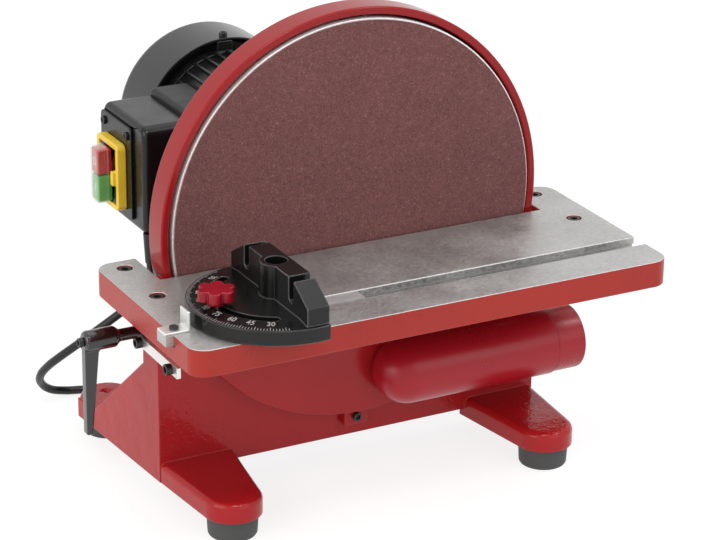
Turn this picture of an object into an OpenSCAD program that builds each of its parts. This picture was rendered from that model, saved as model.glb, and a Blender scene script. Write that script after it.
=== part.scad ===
// Benchtop disc sander: a 305 mm disc on a motor shaft, a tilting table and a mitre gauge.
// Millimetres, +X to the operator's right, +Y to the rear, +Z up, bench at Z = 0.
// Pieces are drawn about the centre of the disc face and then set down on the bench.

/* [Machine] */
// Room between the bench and the tab under the lower cover
axis_clear = 35.7; // [30:0.1:60]

/* [Disc] */
// Diameter of the abrasive disc
disc_d = 305; // [295:1:310]
// Thickness of the abrasive disc
abrasive_t = 1.5; // [0.8:0.1:2]
// How far the plate stands out past the abrasive all round
plate_lip = 1.3; // [0.5:0.1:2]
// Thickness of the aluminium disc plate
plate_t = 10; // [7:0.5:11]
// Diameter of the hub behind the plate
hub_d = 52; // [40:1:60]
// Length of the hub behind the plate
hub_l = 7.5; // [6:0.5:9]

/* [Guard] */
// Gap between the plate edge and the guard
guard_gap = 2.2; // [1.5:0.1:4]
// Thickness of the guard rim
guard_wall = 6.3; // [5:0.1:8]
// Guard lip, behind the disc face
guard_front = 3; // [2:0.1:4]
// Depth of the guard from lip to back
guard_depth = 23.5; // [22:0.5:28]
// Thickness of the guard back plate
guard_plate_t = 4.5; // [3:0.5:6]

/* [Lower cover] */
// How much larger the cover is than the guard, on the radius
cover_lap = 1; // [0.5:0.1:2]
// Cover face, ahead of the disc face
cover_front = 12; // [10:0.5:14]
// Thickness of the cover
cover_wall = 3.5; // [2:0.1:5]
// Top of the cover face, below the disc axis
cover_top = 78; // [77:1:90]

/* [Dust port] */
// Outer diameter of the hose spigot
port_d = 52; // [48:0.5:53]
// Wall of the hose spigot
port_wall = 3; // [2:0.1:5]
// Length of the hose spigot
port_l = 25; // [18:1:32]
// End of the hose spigot, right of the disc axis
port_x = 183; // [175:1:195]
// Outer diameter of the chute
chute_d = 54; // [53.5:0.5:55]
// Chute axis, ahead of the disc face
chute_y = 24.5; // [24.5:0.5:27]
// Chute axis, below the disc axis
chute_z = 128.5; // [126:0.5:131]
// Centre of the round closed end of the chute, right of the disc axis
chute_x = 33; // [28:1:40]

/* [Base] */
// Half width of the front wall past the guard
base_side = 4.1; // [3.5:0.1:5]
// Front wall, behind the guard lip
wall_set = 0.6; // [0.4:0.1:1.5]
// Thickness of the front wall
wall_t = 6; // [5:0.5:8]
// Thickness of the side walls
side_t = 7; // [6:0.5:9]
// Angle at which the side walls open to the rear, in degrees
splay = 3.8; // [2:0.1:4.5]
// Width of the upright column at the front of each side wall
column_w = 24.4; // [23:0.1:27]
// Foot of the column's rear edge, above the bench
column_foot = 110; // [100:1:120]
// Bottom of the front wall, above the bench
base_clear = 25; // [20:1:30]
// Top of the legs, above the bench
leg_top = 34; // [32:1:38]
// Thickness of the legs
leg_t = 16; // [12:0.5:18]
// Width of the front leg where it leaves the wall
leg_root = 64; // [56:1:72]
// Front feet, to each side of the disc axis
front_foot_x = 137; // [132:1:140]
// Front feet, ahead of the disc face
front_foot_y = 64; // [58:1:70]
// Rear feet, to each side of the disc axis
rear_foot_x = 150; // [146:1:152]
// Rear feet, behind the disc face
rear_foot_y = 145; // [138:1:150]

/* [Feet] */
// Diameter of the rubber feet
foot_d = 40; // [34:1:44]

/* [Motor] */
// Diameter of the motor body under its fins
motor_d = 122; // [118:1:124]
// Height of the fins
fin_h = 4.5; // [3:0.1:5]
// Thickness of the fins
fin_t = 2; // [1.5:0.1:3]
// Number of fins
fin_count = 40; // [24:1:48]
// Length of the finned body
body_l = 186; // [180:1:200]
// Length of the front bell
bell_l = 19.5; // [18:0.5:24]
// Diameter of the shaft at the bearings
shaft_d = 17; // [15:0.5:18]
// Outer diameter of the bearings
bearing_d = 40; // [36:1:42]
// Width of the bearings
bearing_w = 12; // [10:0.5:13]
// How far the fan cover stands out past the motor body
fan_cover_over = 13.5; // [8:0.5:18]
// Length of the fan cover
fan_cover_l = 60; // [56:1:70]
// Thickness of the fan cover
fan_cover_t = 2; // [1.5:0.1:3]

/* [Switch] */
// Width of the switch box along the motor
box_w = 82; // [78:1:90]
// Height of the switch box
box_h = 90; // [86:1:100]
// Depth of the switch box
box_d = 40; // [38:1:46]
// Outer face of the switch box, past the motor's fins
box_out = 54.5; // [52:0.5:60]
// Room between the switch box and the rear of the motor body
box_gap = 20; // [14:1:24]
// Wall of the switch box
box_wall = 3; // [2:0.1:3.5]
// Width of the buttons
button_w = 14; // [10:0.5:18]
// Height of the stop button
stop_h = 21; // [16:0.5:21]
// Height of the start button
start_h = 22; // [16:0.5:22]
// Travel of the buttons
button_travel = 2.5; // [1.5:0.1:3]

/* [Table] */
// Width of the table ears beside the guard
ear_w = 34.7; // [31:0.1:40]
// Front edge of the table, ahead of the disc face
table_front = 137.5; // [130:0.5:145]
// Rear ends of the table ears, behind the disc face
table_back = 46; // [44:0.5:52]
// Thickness of the table rim
table_t = 21; // [20:0.5:22]
// Table top, below the disc axis
table_drop = 25; // [22:0.5:26]
// Radius of the table corners
table_corner = 14; // [8:0.5:18]
// Room between the guard and the table ears
notch_clear = 3; // [2:0.1:4]
// Room between the disc face and the table edge
notch_gap = 1.6; // [1.2:0.1:3]
// Thickness of the table skin over the pockets
skin_t = 8; // [6:0.5:10]
// Thickness of the ribs under the table
rib_t = 6; // [4:0.5:8]
// Centre of the mitre slot, ahead of the disc face
slot_y = 93.6; // [90:0.1:97]
// Width of the mitre slot
slot_w = 15.9; // [14:0.1:19]
// Depth of the mitre slot
slot_d = 9.2; // [8:0.1:10]

/* [Tilt] */
// Largest tilt of the table, in degrees
tilt_max = 45; // [30:1:45]
// Tilt axis, behind the disc face
pivot_y = 10; // [9:0.5:12]
// Diameter of the pivot pins
pivot_d = 10; // [8:0.5:11]
// Thickness of the trunnion plates
web_t = 3.6; // [3:0.1:5]
// Thickness of the strips on the trunnions
strip_t = 3.5; // [2.5:0.1:4]
// Height of the strips
strip_h = 9; // [8.5:0.5:11]
// Lock stud, behind the disc face
stud_y = 13; // [12:0.5:15]
// Lock stud, below the disc axis
stud_z = 70.5; // [69:0.5:74]
// Diameter of the lock studs
stud_d = 6; // [5:0.5:6.5]
// Length of the lever arm from the stud
lever_l = 76; // [68:1:86]
// Outer face of the lock levers, from the disc axis
lever_x = 223; // [218:1:232]

/* [Mitre gauge] */
// Left end of the bar, from the disc axis
bar_end = 206; // [203:1:212]
// Length of the bar
bar_l = 162; // [150:1:200]
// Thickness of the bar
bar_t = 8; // [7:0.1:8.2]
// Pivot of the head, left of the disc axis
gauge_x = 114.6; // [110:0.1:118]
// Radius of the head
head_r = 66.4; // [64:0.1:67]
// Thickness of the head
head_t = 13.5; // [12:0.5:15]
// Height of the fence
fence_h = 39.5; // [36:0.5:44]
// Thickness of the fence
fence_t = 17.6; // [14:0.1:20]
// Length of the fence
fence_l = 126; // [116:1:128]
// Diameter of the star knob
knob_d = 28.5; // [26:0.5:31]
// Height of the star knob
knob_h = 12.5; // [11:0.5:16]
// Swivel of the head each way, in degrees
swivel_max = 60; // [45:1:60]

/* [Cord] */
// Diameter of the power cord
cord_d = 7; // [6:0.1:7.2]
// Turns in each layer of the coil
coil_turns = 2.25; // [1.25:1:2.25]

/* [Hidden] */
$fn = 96;

// Overrun of every cut past the face it opens
over = 1;
// Room between a screw and its hole, on the diameter
hole_room = 0.1;
// Room between pieces that slide on each other
slide_room = 0.3;
// Room of a running fit, on the radius
run_room = 0.04;

// Screws as [thread diameter, head diameter, head height]
m4 = [4, 7, 4];
m5 = [5, 8.6, 5];
m6 = [6, 10, 6];
m8 = [8, 14, 5.5];
// Hex socket across its corners and its depth, as shares of the head
socket_share = 0.62;
socket_depth_share = 0.55;

// Disc, plate and guard
disc_r = disc_d / 2;
plate_r = disc_r + plate_lip;
plate_back = abrasive_t + plate_t;
guard_ri = plate_r + guard_gap;
guard_ro = guard_ri + guard_wall;
guard_back = guard_front + guard_depth;
guard_floor = guard_back - guard_plate_t;
nose_step = 1;
nose_d = shaft_d - nose_step;
nose_cover = 3;

// Motor stations along Y
body_y0 = guard_back + bell_l;
body_y1 = body_y0 + body_l;
fan_cover_y0 = body_y1 + fan_cover_t;
fan_cover_y1 = fan_cover_y0 + fan_cover_l;
fan_cover_d = motor_d + 2 * fan_cover_over;
fin_r = motor_d / 2 + fin_h;
body_wall = 5;
body_ri = motor_d / 2 - body_wall;
bell_r = motor_d / 2 + fan_cover_t;
bearing_seat = 4.5;
rear_bell_l = 10;
rear_hub_l = 7;
front_bearing_y = guard_back + bearing_seat;
rear_seat = 3;
rear_bearing_y = body_y1 + rear_seat;
fan_gap = 4;
fan_y0 = body_y1 + rear_bell_l + rear_hub_l + fan_gap;
fan_l = 16;
shaft_proud = 2;
shaft_end = fan_y0 + fan_l + shaft_proud;
core_l = 80;
core_in = 50;
core_y0 = body_y0 + core_in;
winding_l = 20;
motor_bolt_in = 11;
motor_bolt_r = motor_d / 2 - motor_bolt_in;

// Lower cover, and the height of the disc axis that its tab leaves above the bench
cover_r = guard_ro + cover_lap;
cover_tab_w = 20;
cover_tab_l = 15;
cover_tab_t = 6;
cover_tab_set = 0.5;
axis_h = cover_r + cover_tab_l + axis_clear;

// The disc face stands this far from the middle of the machine
front_reach = max(slot_y + head_r, table_front);
disc_y = (front_reach - fan_cover_y1) / 2;

// Table
table_under = table_drop + table_t;
notch_hw = guard_ro + notch_clear;
table_hw = notch_hw + ear_w;
pivot_z = table_drop + table_t / 2;
table_screw_in = 20;
table_screw_x = table_hw - table_screw_in;
table_screw_y = 1;
table_screw_span = 60;
table_boss_d = 22;
screw_recess_d = 12;
screw_recess = 6.5;

// Base
wall_y = guard_front + wall_set;
base_hw = guard_ro + base_side;
base_bottom = axis_h - base_clear;
leg_up = axis_h - leg_top;
leg_down = leg_up + leg_t;
column_top_gap = 12;
column_top = table_under + column_top_gap;
web_y = guard_back;
base_web_t = 7;
toe_r = 23;
rear_toe_r = 22;
leg_skin = 3;
rear_root = 50;
rear_run = 28;
rear_rib_h = 30;
rear_rib_back = 42;
opening_room = 0.7;
stud_boss_d = 18;
stud_boss_l = 7;
motor_room = 4;
guard_bolt_x = [-118, 118, -62, 62];
guard_bolt_shares = [0.56, 0.56, 0.86, 0.86];
guard_bolt_z = [for (s = guard_bolt_shares) -s * guard_ri];
guard_boss_d = 18;
guard_boss_l = 6;

// Trunnions, strips, studs and levers
column_out = base_hw + column_w * tan(splay);
slide_gap = 0.5;
web_in = column_out + slide_gap;
web_out = web_in + web_t;
strip_out = web_out + strip_t;
pivot_room = 0.1;
flange_t = 4;
flange_margin = 9;
web_front = 50;
web_back = 40;
strip_front = 52;
strip_back = 24;
strip_screw_y = [14, -41];
slot_room = 0.8;
stud_rel = [stud_y - pivot_y, pivot_z - stud_z];
stud_r = norm(stud_rel);
stud_a = atan2(stud_rel[1], stud_rel[0]);
slot_margin = 3;
sleeve_d = 9.6;
strip_z = pivot_z + stud_r + sleeve_d / 2 + slide_room;
chute_room = 2.5;
chute_reach = norm([pivot_y + chute_y, chute_z - pivot_z]) - chute_d / 2 - chute_room;
right_front = sqrt(pow(chute_reach, 2) - pow(strip_z + strip_h - pivot_z, 2)) - pivot_y;
right_screw_y = [strip_screw_y[0], strip_h - right_front];
sleeve_end = 194;
hub_r = 8.2;
lever_gap = 0.2;
arm_x = 11.5;
arm_y = 8;
arm_tip_share = 0.42;
stud_in = 10;
stud_short = 5;
stud_out = lever_x - stud_short;

// Lower cover and dust chute
cover_back = guard_front - slide_room;
side_tab_a = 33;
seat_room = 0.1;

// Switch
box_r = 8;
box_x = fin_r + box_out;
box_y = body_y1 - box_gap - box_w;
plate_w = 60;
plate_h = 78;
plate_th = 2.5;
plate_in = 1.5;
switch_yc = box_y + box_w - plate_w / 2 - plate_in;
switch_zc = -5;
plate_screw_y = 22.5;
plate_screw_z = 31;
frame_w = 42;
frame_h = 56;
frame_t = 8;
frame_wall = 4.7;
frame_r = 5;
tab_w = 5;
tab_h = 12;
tab_out = 3.5;
switch_w = 30;
switch_h = 46;
switch_d = 32;
button_out = 18.5;
button_in = 16;
button_split = 1;
saddle_over = 6;
saddle_back = 34;
saddle_room = 0.4;
capacitor_room = 4.5;
capacitor_d = switch_yc - switch_w / 2 - box_y - box_wall - capacitor_room;
capacitor_l = 46;
gland_d = 11.5;
gland_tip = 8.6;
gland_l = 26;
gland_in = 7;

// Mitre gauge
bar_gap = 0.2;
bar_drop = 0.6;
bar_w = slot_w - 2 * bar_gap;
bar_z1 = -table_drop - bar_drop;
bar_z0 = bar_z1 - bar_t;
head_z = -table_drop + slide_room;
fence_right = 11.2;
fence_end_h = 25;
fence_top_l = 76;
boss_r = 12.5;
counterbore_d = 16;
counterbore_h = 12;
pivot_screw_d = 8;
pivot_head_d = 14;
pivot_head_h = 6;
notch_y = 36.5;
fence_notch_w = 7.5;
fence_notch_d = 15;
rim_t = 11.5;
scale_r = 51;
knob_r = 47.9;
knob_slot_w = 6.8;
knob_stud_d = 6;
knob_lobes = 6;
knob_lobe_share = 0.17;
knob_core_share = 0.36;
knob_foot = 4;
pointer_l = 20;
pointer_t = 2;
pointer_h = 15.6;
pointer_w = 14;
tee_w = 4;
tee_h = 3.2;

// Plug
plug_w = 26;
plug_l = 36;
sleeve_l = 26;
pin_l = 18;
blade_w = 6.4;
blade_t = 1.5;
blade_span = 12.7;
earth_d = 4.8;
earth_drop = 6;

// Cord: hand-chosen route of the free stretch, from the gland to the coil, on the bench frame
cord_gap = 0.7;
cord_sides = 10;
gland_at = [gland_in - box_x, disc_y + box_y + gland_in, axis_h - box_h / 2 - gland_l];
cord_route = [
    gland_at, gland_at - [0, 0, 2 * cord_d], [-116, 72, 117], [-124, 77, 109], [-134, 83, 99], [-144, 91, 88],
    [-155, 100, 76], [-165, 110, 64], [-174, 121, 52], [-180, 133, 40], [-182, 144, 28], [-178, 153, 17],
    [-169, 157, 8], [-156, 157, 4], [-142, 153, 3.5], [-128, 147, 3.5], [-114, 141, 3.5], [-100, 134, 3.5],
    [-86, 128, 3.5], [-72, 121, 3.5], [-58, 114, 3.5], [-44, 108, 3.5], [-30, 103, 3.5], [-14, 100, 3.5],
    [2, 99, 3.5], [16, 99, 3.5]
];
// Coil of the stored length: centre, outer turn and the tube's own count of rings and sides
coil_c = [23, 148];
coil_r = 49;
coil_rings = 24;
coil_sides = 6;
coil_end = 24;

// Placing and shaping helpers

module at_disc() translate([0, disc_y, axis_h]) children();

module both_sides() {
    children();
    mirror([1, 0, 0]) children();
}

module rod_x(d, x0, x1) translate([x0, 0, 0]) rotate([0, 90, 0]) cylinder(d = d, h = x1 - x0);

module rod_y(d, y0, y1) translate([0, y0, 0]) rotate([-90, 0, 0]) cylinder(d = d, h = y1 - y0);

module rod_z(d, z0, z1) translate([0, 0, z0]) cylinder(d = d, h = z1 - z0);

// Box between two limits on each axis
module block(x, y, z)
    translate([x[0], y[0], z[0]]) cube([x[1] - x[0], y[1] - y[0], z[1] - z[0]]);

// Flat outlines given thickness along one axis
module slab_x(x0, x1) translate([x0, 0, 0]) rotate([90, 0, 90]) linear_extrude(x1 - x0) children();

module slab_y(y0, y1) translate([0, y1, 0]) rotate([90, 0, 0]) linear_extrude(y1 - y0) children();

module slab_z(z0, z1) translate([0, 0, z0]) linear_extrude(z1 - z0) children();

// Turned shape about the Y axis, its profile in [radius, y]
module turned_y(profile) rotate([-90, 0, 0]) rotate_extrude() polygon(profile);

// Rectangle with true round corners
module round_rect(w, h, r) {
    square([w - 2 * r, h], center = true);
    square([w, h - 2 * r], center = true);
    for (sx = [-1, 1], sy = [-1, 1])
        translate([sx * (w / 2 - r), sy * (h / 2 - r)]) circle(r);
}

// Curved slot of width w on radius r from angle a0 to a1
module arc_slot(r, w, a0, a1) {
    intersection() {
        difference() {
            circle(r + w / 2);
            circle(r - w / 2);
        }
        polygon(concat([[0, 0]], [for (i = [0:4]) 2 * r * dir(a0 + (a1 - a0) * i / 4)]));
    }
    for (a = [a0, a1])
        translate(r * dir(a)) circle(d = w);
}

function dir(a) = [cos(a), sin(a)];

// Touching point on a circle of the line from point p, on the side s
function touch(p, c, r, s) =
    let (v = p - c, a = atan2(v[1], v[0]) + s * acos(r / norm(v)))
    c + r * dir(a);

// Socket screw along Z, seated at zero with its shank below
module socket_screw(size, l) {
    difference() {
        rod_z(size[1], 0, size[2]);
        translate([0, 0, size[2] * (1 - socket_depth_share)])
            cylinder(d = size[1] * socket_share, h = size[2], $fn = 6);
    }
    rod_z(size[0], -l, 0);
}

// Hex bolt along Z, seated at zero with its shank below
module hex_bolt(size, l) {
    cylinder(d = size[1], h = size[2], $fn = 6);
    rod_z(size[0], -l, 0);
}

// Base casting

// Outline of a leg in plan: from two root points to a round toe
module leg_outline(p, q, c, r) {
    polygon([p, touch(p, c, r, 1), c, touch(q, c, r, -1), q]);
    translate(c) circle(r);
}

// Point on the outside of the left side wall at station y
function side_x(y) = -base_hw - (y - wall_y) * tan(splay);

module side_wall() {
    wall_l = rear_foot_y - wall_y;
    slope_l = wall_l - rear_run;
    translate([-base_hw, wall_y, 0]) rotate([0, 0, splay]) slab_x(0, side_t) polygon([
        [0, -leg_down], [wall_l, -leg_down], [wall_l, -leg_up], [slope_l, -leg_up],
        [column_w, column_foot - axis_h], [column_w, -column_top], [0, -column_top]
    ]);
}

module base_casting() {
    front_c = [-front_foot_x, -front_foot_y];
    rear_c = [-rear_foot_x, rear_foot_y];
    color([0.62, 0.13, 0.12]) at_disc() difference() {
        union() {
            slab_y(wall_y, wall_y + wall_t) polygon([
                [-base_hw, -base_bottom], [base_hw, -base_bottom],
                [base_hw, -column_top], [-base_hw, -column_top]
            ]);
            slab_y(web_y, web_y + base_web_t) polygon([
                [side_x(web_y) + side_t / 2, -base_bottom], [-side_x(web_y) - side_t / 2, -base_bottom],
                [-side_x(web_y) - side_t / 2, column_foot - axis_h],
                [side_x(web_y) + side_t / 2, column_foot - axis_h]
            ]);
            block([-rear_foot_x, rear_foot_x],
                [rear_foot_y - rear_rib_back - base_web_t, rear_foot_y - rear_rib_back],
                [-base_bottom, rear_rib_h - base_bottom]);
            both_sides() {
                side_wall();
                slab_z(-leg_down, -leg_up) leg_outline(
                    [-base_hw, wall_y + wall_t], [-base_hw + leg_root, wall_y + wall_t], front_c, toe_r);
                slab_z(-leg_down, -leg_up) leg_outline(
                    [side_x(rear_foot_y - rear_root) + rear_root, rear_foot_y - rear_root],
                    [side_x(rear_foot_y - rear_root), rear_foot_y - rear_root], rear_c, rear_toe_r);
                translate([0, stud_y, -stud_z])
                    rod_x(stud_boss_d, -base_hw - over / 2, -base_hw + side_t + stud_boss_l);
            }
        }
        rod_y(2 * (guard_ro + opening_room), 0, web_y);
        rod_y(2 * (fin_r + motor_room), wall_y, fan_cover_y1);
        for (i = [0:3])
            translate([guard_bolt_x[i], 0, guard_bolt_z[i]])
                rod_y(m8[0] + hole_room, web_y - over, web_y + 2 * base_web_t);
        both_sides() {
            translate(front_c) rod_z(m6[0] + hole_room, -leg_down - over, -leg_up - leg_skin);
            translate(rear_c) rod_z(m6[0] + hole_room, -leg_down - over, over - leg_up);
            translate([0, stud_y, -stud_z]) rod_x(stud_d + hole_room, -web_in, stud_in + 2 * over - base_hw);
        }
        translate([0, 0, -cover_r - cover_tab_l / 2])
            rod_y(m4[0] + hole_room, wall_y - over, wall_y + wall_t + over);
        both_sides() rotate([0, side_tab_a, 0]) translate([cover_r + cover_tab_l / 2, 0, 0])
            rod_y(m4[0] + hole_room, wall_y - over, wall_y + wall_t + over);
    }
}

// Places of the four feet
foot_places = [
    for (s = [-1, 1]) [s * front_foot_x, -front_foot_y],
    for (s = [-1, 1]) [s * rear_foot_x, rear_foot_y]
];
foot_taper = 2;
foot_bore_d = 15;
foot_seat = 8;
washer_gap = 0.2;

module rubber_feet() color([0.25, 0.26, 0.26]) at_disc() for (p = foot_places)
    translate([p[0], p[1], -axis_h]) rotate_extrude() polygon([
        [foot_bore_d / 2, 0], [foot_d / 2 - foot_taper, 0], [foot_d / 2 - foot_taper / 2, foot_taper],
        [foot_d / 2, leg_top - leg_t], [(m6[0] + hole_room) / 2, leg_top - leg_t],
        [(m6[0] + hole_room) / 2, foot_seat], [foot_bore_d / 2, foot_seat]
    ]);

module foot_screws() color([0.7, 0.7, 0.72]) at_disc() for (p = foot_places)
    translate([p[0], p[1], foot_seat - axis_h]) rotate([180, 0, 0])
        socket_screw(m6, leg_top - foot_seat - leg_skin - washer_gap);

// Guard

module disc_guard() color([0.66, 0.14, 0.13]) at_disc() difference() {
    union() {
        turned_y([
            [nose_d, guard_floor], [guard_ri, guard_floor], [guard_ri, guard_front],
            [guard_ro, guard_front], [guard_ro, guard_back], [nose_d, guard_back]
        ]);
        for (i = [0:3])
            translate([guard_bolt_x[i], 0, guard_bolt_z[i]])
                rod_y(guard_boss_d, guard_floor - guard_boss_l, guard_back);
        both_sides() translate([0, pivot_y, -pivot_z])
            difference() {
                rod_x(pivot_d + guard_wall, -guard_ro - notch_clear / 2, over - guard_ri);
                rotate([90, 0, 0]) translate([0, pivot_z, 0])
                    cylinder(r = guard_ri + over, h = 2 * guard_depth, center = true);
            }
    }
    for (i = [0:3])
        translate([guard_bolt_x[i], 0, guard_bolt_z[i]])
            rod_y(m8[0] + hole_room, guard_floor - guard_boss_l - over, guard_back + over);
    for (a = [45:90:315]) rotate([0, a, 0]) translate([motor_bolt_r, 0, 0])
        rod_y(m6[0] + hole_room, guard_floor - over, guard_back + over);
    both_sides() translate([0, pivot_y, -pivot_z]) rod_x(pivot_d + hole_room, -guard_ro - notch_clear, 0);
}

module guard_bolts() color([0.3, 0.3, 0.31]) at_disc() for (i = [0:3])
    translate([guard_bolt_x[i], web_y + base_web_t, guard_bolt_z[i]]) rotate([-90, 0, 0])
        hex_bolt(m8, base_web_t + guard_plate_t + guard_boss_l / 2);

// Lower cover with its dust chute

// Tab with a screw hole, standing off the cover rim along +X
module cover_tab() difference() {
    union() {
        block([cover_r - cover_wall, cover_r + cover_tab_l],
            [cover_back - cover_tab_t, cover_back - cover_tab_set],
            [-cover_tab_w / 2, cover_tab_w / 2]);
        block([guard_ro + 2 * opening_room, cover_r + cover_tab_l], [cover_back - cover_tab_t, wall_y],
            [-cover_tab_w / 2, cover_tab_w / 2]);
    }
    translate([cover_r + cover_tab_l / 2, 0, 0])
        rod_y(m4[0] + hole_room, cover_back - cover_tab_t - over, wall_y + over);
}

port_ri = port_d / 2 - port_wall;
step_x = port_x - port_l;

// Bore of the chute, from its round end out through the spigot
module chute_bore() translate([0, -chute_y, -chute_z]) {
    translate([chute_x, 0, 0]) sphere(r = port_ri);
    rod_x(2 * port_ri, chute_x, port_x + over);
}

// Shape that the slanted top leaves of the cover
module cover_below_top() {
    far = 2 * cover_r;
    slab_x(-far, far) polygon([
        [-cover_front - over, -far], [cover_back + over, -far],
        [cover_back + over, cover_back + over + cover_front - cover_top],
        [-cover_front - over, -cover_top - over]
    ]);
}

module lower_cover() color([0.6, 0.13, 0.13]) at_disc() difference() {
    intersection() {
        rod_y(2 * cover_r, -cover_front, cover_wall - cover_front);
        cover_below_top();
    }
    chute_bore();
}

module cover_rim() color([0.6, 0.13, 0.13]) at_disc() difference() {
    union() {
        intersection() {
            turned_y([
                [cover_r - cover_wall, cover_wall - cover_front], [cover_r, cover_wall - cover_front],
                [cover_r, cover_back], [cover_r - cover_wall, cover_back]
            ]);
            cover_below_top();
        }
        rotate([0, 90, 0]) cover_tab();
        both_sides() rotate([0, side_tab_a, 0]) cover_tab();
    }
    chute_bore();
}

module dust_chute() color([0.6, 0.12, 0.13]) at_disc() difference() {
    translate([0, -chute_y, -chute_z]) {
        translate([chute_x, 0, 0]) sphere(d = chute_d);
        rod_x(chute_d, chute_x, step_x);
        rod_x(port_d, step_x, port_x);
    }
    chute_bore();
    rod_y(2 * (cover_r + seat_room), -cover_front, chute_d);
}

module cover_screw() translate([cover_r + cover_tab_l / 2, cover_back - cover_tab_t, 0]) rotate([90, 0, 0])
    socket_screw(m4, wall_y + wall_t - cover_back + cover_tab_t);

module cover_screws() color([0.12, 0.12, 0.13]) at_disc()
{
    rotate([0, 90, 0]) cover_screw();
    both_sides() rotate([0, side_tab_a, 0]) cover_screw();
}

// Disc, shaft and motor

module disc_plate() color([0.8, 0.81, 0.82]) at_disc() difference() {
    union() {
        rod_y(2 * plate_r, abrasive_t, plate_back);
        rod_y(hub_d, plate_back, plate_back + hub_l);
    }
    rod_y(nose_d + hole_room, abrasive_t + nose_cover, plate_back + hub_l + over);
    translate([0, plate_back + hub_l / 2, 0]) rod_z(m4[0] + hole_room, 0, hub_d);
}

module abrasive_disc() color([0.42, 0.27, 0.26]) at_disc() rod_y(disc_d, 0, abrasive_t);

module hub_set_screw() color([0.2, 0.2, 0.2]) at_disc()
    translate([0, plate_back + hub_l / 2, 0]) difference() {
    rod_z(m4[0], nose_d / 2, hub_d / 2 - over);
    translate([0, 0, hub_d / 2 - m4[0]]) cylinder(d = m4[0] * socket_share, h = m4[0], $fn = 6);
}

module motor_shaft() color([0.6, 0.61, 0.63]) at_disc() {
    rod_y(nose_d, abrasive_t + nose_cover + slide_room, guard_floor);
    rod_y(shaft_d, guard_floor, body_y1 + rear_bell_l + rear_hub_l);
    rod_y(nose_d, body_y1 + rear_bell_l + rear_hub_l, shaft_end);
}

module motor_front_bell() color([0.1, 0.1, 0.11]) at_disc() difference() {
    turned_y([
        [shaft_d / 2 + over, guard_back], [bell_r, guard_back], [bell_r, body_y0],
        [bearing_d / 2 + hole_room / 2, body_y0], [bearing_d / 2 + hole_room / 2, front_bearing_y],
        [shaft_d / 2 + over, front_bearing_y]
    ]);
    for (a = [45:90:315]) rotate([0, a, 0]) translate([motor_bolt_r, 0, 0])
        rod_y(m6[0] + hole_room, guard_back - over, guard_back + bell_l);
}

module motor_body() color([0.09, 0.09, 0.1]) at_disc() {
    turned_y([[body_ri, body_y0], [motor_d / 2, body_y0], [motor_d / 2, body_y1], [body_ri, body_y1]]);
    for (i = [0:fin_count - 1]) rotate([0, i * 360 / fin_count, 0])
        block([motor_d / 2 - fin_t / 2, fin_r], [body_y0, body_y1], [-fin_t / 2, fin_t / 2]);
}

// Angles of the fan cover screws, about the motor axis
cover_screw_a = [-90, 30, 150];
lug_w = 14;
lug_room = 0.2;
lug_top = sqrt(pow(fan_cover_d / 2 - fan_cover_t - lug_room, 2) - pow(lug_w / 2, 2));

module motor_rear_bell() color([0.1, 0.1, 0.11]) at_disc() difference() {
    union() {
        turned_y([
            [bearing_d / 2 + hole_room / 2, body_y1], [bell_r, body_y1], [bell_r, body_y1 + rear_bell_l],
            [bearing_d / 2 + body_wall, body_y1 + rear_bell_l],
            [bearing_d / 2 + body_wall, body_y1 + rear_bell_l + rear_hub_l],
            [shaft_d / 2 + over, body_y1 + rear_bell_l + rear_hub_l],
            [shaft_d / 2 + over, rear_bearing_y + bearing_w],
            [bearing_d / 2 + hole_room / 2, rear_bearing_y + bearing_w]
        ]);
        for (a = cover_screw_a) rotate([0, a, 0])
            block([bell_r - body_wall, lug_top],
                [fan_cover_y0, body_y1 + rear_bell_l], [-lug_w / 2, lug_w / 2]);
    }
    for (a = cover_screw_a) rotate([0, a, 0])
        translate([0, (fan_cover_y0 + body_y1 + rear_bell_l) / 2, 0])
            rod_x(m4[0] + hole_room, bell_r - 2 * body_wall, fan_cover_d);
}

module bearing(y) turned_y([
    [shaft_d / 2 + run_room, y], [bearing_d / 2, y],
    [bearing_d / 2, y + bearing_w], [shaft_d / 2 + run_room, y + bearing_w]
]);

module front_bearing() color([0.72, 0.73, 0.75]) at_disc() bearing(front_bearing_y);

module rear_bearing() color([0.72, 0.73, 0.75]) at_disc() bearing(rear_bearing_y);

stator_t = 21.5;
core_r = body_ri - stator_t;
air_gap = 0.5;
winding_room = 3;
winding_r0 = core_r + air_gap + winding_room;
winding_r1 = body_ri - winding_room;

module rotor() color([0.45, 0.46, 0.48]) at_disc() turned_y([
    [shaft_d / 2 + hole_room / 4, core_y0], [core_r, core_y0],
    [core_r, core_y0 + core_l], [shaft_d / 2 + hole_room / 4, core_y0 + core_l]
]);

module stator() color([0.35, 0.36, 0.38]) at_disc() turned_y([
    [core_r + air_gap, core_y0], [body_ri - hole_room / 2, core_y0],
    [body_ri - hole_room / 2, core_y0 + core_l], [core_r + air_gap, core_y0 + core_l]
]);

module windings() color([0.62, 0.3, 0.14]) at_disc() for (y = [core_y0 - winding_l, core_y0 + core_l])
    turned_y([[winding_r0, y], [winding_r1, y], [winding_r1, y + winding_l], [winding_r0, y + winding_l]]);

fan_blades = 8;
fan_t = 2;
fan_hub_d = 26;
fan_room = 8;

module cooling_fan() {
    fan_r = fan_cover_d / 2 - fan_room;
    color([0.15, 0.15, 0.16]) at_disc() difference() {
        union() {
            rod_y(fan_hub_d, fan_y0, fan_y0 + fan_l);
            rod_y(2 * fan_r, fan_y0, fan_y0 + fan_t);
            for (i = [0:fan_blades - 1]) rotate([0, i * 360 / fan_blades, 0])
                block([nose_d, fan_r], [fan_y0, fan_y0 + fan_l], [-fan_t / 2, fan_t / 2]);
        }
        rod_y(nose_d + hole_room / 2, fan_y0 - over, fan_y0 + fan_l + over);
    }
}

fan_cover_bend = 12;
bend_steps = 6;

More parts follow.
